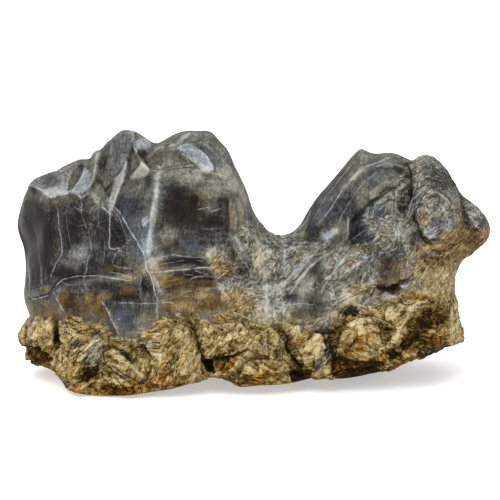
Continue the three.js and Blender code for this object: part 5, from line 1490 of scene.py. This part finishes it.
def rock_material(colours, grain_strength):
    """Water-polished dark limestone with calcite veins, rough flecked rock and an ochre crust.

    The polished rock is dark and waxy, the rough rock dull, flecked and wrinkled, and the crust a broken,
    bedded, iron-stained limonite without shine. Each kind has a level, from dark to pale, and a warmth,
    from slate grey through neutral to rust. The colour also holds painted light and shade: highlights
    along ridges, a sheen on what faces up, and shade in hollows, cracks, chip gaps and on what faces down.
    """
    material = bpy.data.materials.new("limestone_polished_and_crusted")
    material.use_nodes = True
    material.node_tree.nodes.clear()
    nodes = Nodes(material.node_tree)
    grain = grain_patterns(nodes)
    place = stone_places(nodes, grain)
    # painted shadow: dark lines along the rims of the crust's chips, which the bump also cuts in
    shaded_chip_edges = nodes.math("MULTIPLY", grain.chip_edges, nodes.between(grain.mottled, 0.4, 0.55))

    # calcite veins, and painted highlights along ridges: whitish, a little proud of the polish, and broken
    # along their length
    broken = nodes.sum(nodes.noise(7.0, 4.0, 0.6), (grain.fine, 0.7, 0.5))
    vein_and_edge_highlight = nodes.lines(VEIN_FAMILIES, grain.ragged, 0.22)
    vein_and_edge_highlight = nodes.math("MULTIPLY", vein_and_edge_highlight, nodes.between(broken, 0.34, 0.6, 0.1, 1.0))

    # open cracks: dark with dirt, and painted shadow where a line follows a groove or the cave
    crack = nodes.math("MULTIPLY", nodes.lines(CRACK_FAMILIES, grain.ragged, 0.25), CRACK_DIRT_AND_SHADE)

    colour = nodes.blend(vein_and_edge_highlight, limestone_colour(nodes, grain, place, colours), colours["vein_and_edge_highlight"])
    colour = nodes.blend(place.crust, colour, crust_colour(nodes, grain, place, shaded_chip_edges, colours))
    colour = nodes.blend(crack, colour, DIRT_AND_SHADE)

    dullness = nodes.blend(place.rough, even_grey(POLISHED_DULLNESS), even_grey(ROUGH_DULLNESS))
    dullness = nodes.blend(vein_and_edge_highlight, dullness, even_grey(VEIN_DULLNESS))
    dullness = nodes.blend(place.crust, dullness, even_grey(CRUST_DULLNESS))
    roughness = nodes.math("ADD", dullness, nodes.math("MULTIPLY", grain.mottled, 0.15))

    relief = nodes.sum(rock_relief(nodes, grain, place, shaded_chip_edges), (crack, -0.9, 0.0), (vein_and_edge_highlight, 0.12, 0.0))
    bump_settings = {"Strength": grain_strength, "Distance": GRAIN_DEPTH * MM}
    bump = nodes.add("ShaderNodeBump", bump_settings, {"Height": relief}).outputs["Normal"]

    shader = nodes.add("ShaderNodeBsdfPrincipled", {"Specular IOR Level": SHEEN, "IOR": 1.5}, {
        "Base Color": colour, "Roughness": roughness, "Normal": bump,
    })
    nodes.add("ShaderNodeOutputMaterial", None, {"Surface": shader.outputs["BSDF"]})
    return material


def plain_material(name, colour, glow):
    """Matt white acrylic for the floor, lit a little from below, which keeps its shadows faint."""
    material = bpy.data.materials.new(name)
    material.use_nodes = True
    shader = material.node_tree.nodes["Principled BSDF"]
    shader.inputs["Base Color"].default_value = (*colour, 1.0)
    shader.inputs["Roughness"].default_value = 0.9
    shader.inputs["Specular IOR Level"].default_value = 0.1
    shader.inputs["Emission Color"].default_value = (*colour, 1.0)
    shader.inputs["Emission Strength"].default_value = glow
    return material


# ---------- what a user can change ----------

def colour_setting(name, description, hex_colour):
    """A colour that the user can change, from an sRGB hex value."""
    return bpy.props.FloatVectorProperty(
        name=name, description=description, default=linear(hex_colour), subtype="COLOR", min=0.0, max=1.0)


def length_setting(name, description, millimetres):
    """A length that the user can change, given in millimetres."""
    return bpy.props.FloatProperty(
        name=name, description=description, default=millimetres * MM, min=0.0, unit="LENGTH",
        subtype="DISTANCE")


COLOUR_NAMES = (
    "dark_rock", "grey_rock", "pale_rock", "rust", "slate", "vein_and_edge_highlight", "ochre_dark", "ochre_light",
)


class StoneSettings(bpy.types.PropertyGroup):
    """Sizes and colours of the stone."""
    levels: bpy.props.IntProperty(
        name="Divisions", description="How often the packed solid's faces are divided", default=2,
        min=0, max=2)
    chip_size: length_setting("Chip size", "Width of the crust's larger chips", 12.0)
    chip_height: length_setting("Chip height", "How far the crust's chips stand out", 1.8)
    splinter_size: length_setting("Splinter size", "Width of the crust's smallest chips", 4.6)
    bed_thickness: length_setting("Bed thickness", "Thickness of the thin beds in the rock", 2.6)
    bump: bpy.props.FloatProperty(
        name="Grain", description="Strength of the finest grain", default=0.55, min=0.0, max=1.0,
        subtype="FACTOR")
    dark_rock: colour_setting("Dark rock", "Darkest polished rock", "#292623")
    grey_rock: colour_setting("Grey rock", "Middle grey of the rock", "#5f5e55")
    pale_rock: colour_setting("Pale rock", "Palest rock", "#9c9a8c")
    rust: colour_setting("Rust", "Rust-stained rock", "#6c5834")
    slate: colour_setting("Slate", "Blue-grey rock", "#4b515a")
    # the colour of the calcite veins and of the painted highlights along ridges
    vein_and_edge_highlight: colour_setting("Veins", "Calcite veins", "#cdd0d4")
    ochre_dark: colour_setting("Ochre, dark", "Darker ochre of the crust", "#7c6941")
    ochre_light: colour_setting("Ochre, light", "Lighter ochre of the crust", "#ab9462")


class StageSettings(bpy.types.PropertyGroup):
    """The stage that the stone is shown on."""
    lens: bpy.props.FloatProperty(
        name="Lens", description="Focal length of the camera, in millimetres",
        default=EYE_DISTANCE * SENSOR_WIDTH / VIEW_WIDTH, min=20.0, subtype="DISTANCE_CAMERA")
    floor: colour_setting("Floor", "Colour of the floor", "#efefef")
    glow: bpy.props.FloatProperty(
        name="Floor glow", description="Light from the floor", default=0.5, min=0.0)
    sky: bpy.props.FloatProperty(
        name="Sky", description="Strength of the even light", default=0.8, min=0.0)
    key: bpy.props.FloatProperty(
        name="Overhead light", description="Strength of the broad light overhead", default=1.7, min=0.0)


# ---------- operators ----------

FLOOR_SIZE = 12.0                     # in metres, wide enough to reach past every view
OVERHEAD_PLACE = (-0.45, -0.6, 1.4)   # in metres, where the broad light shines from
OVERHEAD_SPREAD = math.radians(60.0)  # wide, so that shadows are soft


class STONE_OT_make_stone(bpy.types.Operator):
    """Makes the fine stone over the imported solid."""
    bl_idname = "stone.make_stone"
    bl_label = "Make stone"

    def execute(self, context):
        settings = context.scene.stone_settings
        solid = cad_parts.get("stone")
        if solid is None:
            raise RuntimeError("the packed model has no stone")
        bpy.ops.object.select_all(action="DESELECT")
        piece = bpy.data.objects.new("fine_stone", solid.data.copy())
        context.collection.objects.link(piece)
        piece.select_set(True)
        context.view_layer.objects.active = piece
        bpy.ops.object.mode_set(mode="EDIT")
        bpy.ops.mesh.select_all(action="SELECT")
        bpy.ops.mesh.remove_doubles(threshold=0.001 * MM)
        bpy.ops.mesh.tris_convert_to_quads(face_threshold=math.pi, shape_threshold=math.pi)
        bpy.ops.object.mode_set(mode="OBJECT")
        dividing = piece.modifiers.new("divide", "SUBSURF")
        dividing.levels = settings.levels
        dividing.render_levels = settings.levels
        bpy.ops.object.modifier_apply(modifier=dividing.name)
        carve(piece.data, settings)
        bpy.ops.object.shade_smooth()

        colours = {name: tuple(getattr(settings, name)) for name in COLOUR_NAMES}
        piece.data.materials.clear()
        piece.data.materials.append(rock_material(colours, settings.bump))
        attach(piece, "root")
        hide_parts("stone")
        return {"FINISHED"}


class STONE_OT_make_stage(bpy.types.Operator):
    """Makes the floor, the soft lights and the camera."""
    bl_idname = "stone.make_stage"
    bl_label = "Make stage"

    def execute(self, context):
        settings = context.scene.stone_stage
        scene = context.scene
        scene.view_settings.view_transform = "Standard"
        aim = Vector(EYE_AIM) * MM

        bpy.ops.object.select_all(action="DESELECT")
        bpy.ops.mesh.primitive_plane_add(size=FLOOR_SIZE, location=(0.0, 0.0, 0.0))
        floor = context.active_object
        floor.name = "floor"
        acrylic = plain_material("floor_lit_acrylic", tuple(settings.floor), settings.glow)
        floor.data.materials.append(acrylic)

        world = bpy.data.worlds.new("even_sky")
        world.use_nodes = True
        background = world.node_tree.nodes["Background"]
        background.inputs["Color"].default_value = (1.0, 1.0, 1.0, 1.0)
        background.inputs["Strength"].default_value = settings.sky
        scene.world = world

        bpy.ops.object.light_add(type="SUN", location=OVERHEAD_PLACE)
        overhead = context.active_object
        overhead.name = "overhead"
        overhead.data.energy = settings.key
        overhead.data.angle = OVERHEAD_SPREAD
        overhead.rotation_euler = (aim - overhead.location).to_track_quat("-Z", "Y").to_euler()

        toward_eye = Vector((0.0, -math.cos(EYE_RISE), math.sin(EYE_RISE)))
        bpy.ops.object.camera_add(location=aim + toward_eye * EYE_DISTANCE * MM)
        camera = context.active_object
        camera.name = "camera"
        camera.rotation_euler = (-toward_eye).to_track_quat("-Z", "Y").to_euler()
        camera.data.lens = settings.lens
        camera.data.sensor_width = SENSOR_WIDTH
        scene.camera = camera
        return {"FINISHED"}


class STONE_PT_panel(bpy.types.Panel):
    """Lists the stone's parts and their settings."""
    bl_label = "Viewing Stone"
    bl_idname = "STONE_PT_panel"
    bl_space_type = "VIEW_3D"
    bl_region_type = "UI"
    bl_category = "Stone"

    def draw(self, context):
        layout = self.layout
        layout.operator(STONE_OT_make_stone.bl_idname)
        for name in StoneSettings.__annotations__:
            layout.prop(context.scene.stone_settings, name)
        layout.operator(STONE_OT_make_stage.bl_idname)
        for name in StageSettings.__annotations__:
            layout.prop(context.scene.stone_stage, name)


CLASSES = (StoneSettings, StageSettings, STONE_OT_make_stone, STONE_OT_make_stage, STONE_PT_panel)


def register():
    for cls in CLASSES:
        bpy.utils.register_class(cls)
    bpy.types.Scene.stone_settings = bpy.props.PointerProperty(type=StoneSettings)
    bpy.types.Scene.stone_stage = bpy.props.PointerProperty(type=StageSettings)


def unregister():
    del bpy.types.Scene.stone_stage
    del bpy.types.Scene.stone_settings
    for cls in reversed(CLASSES):
        bpy.utils.unregister_class(cls)


def main():
    register()
    bpy.ops.stone.make_stone()
    bpy.ops.stone.make_stage()


if __name__ == "__main__":
    main()
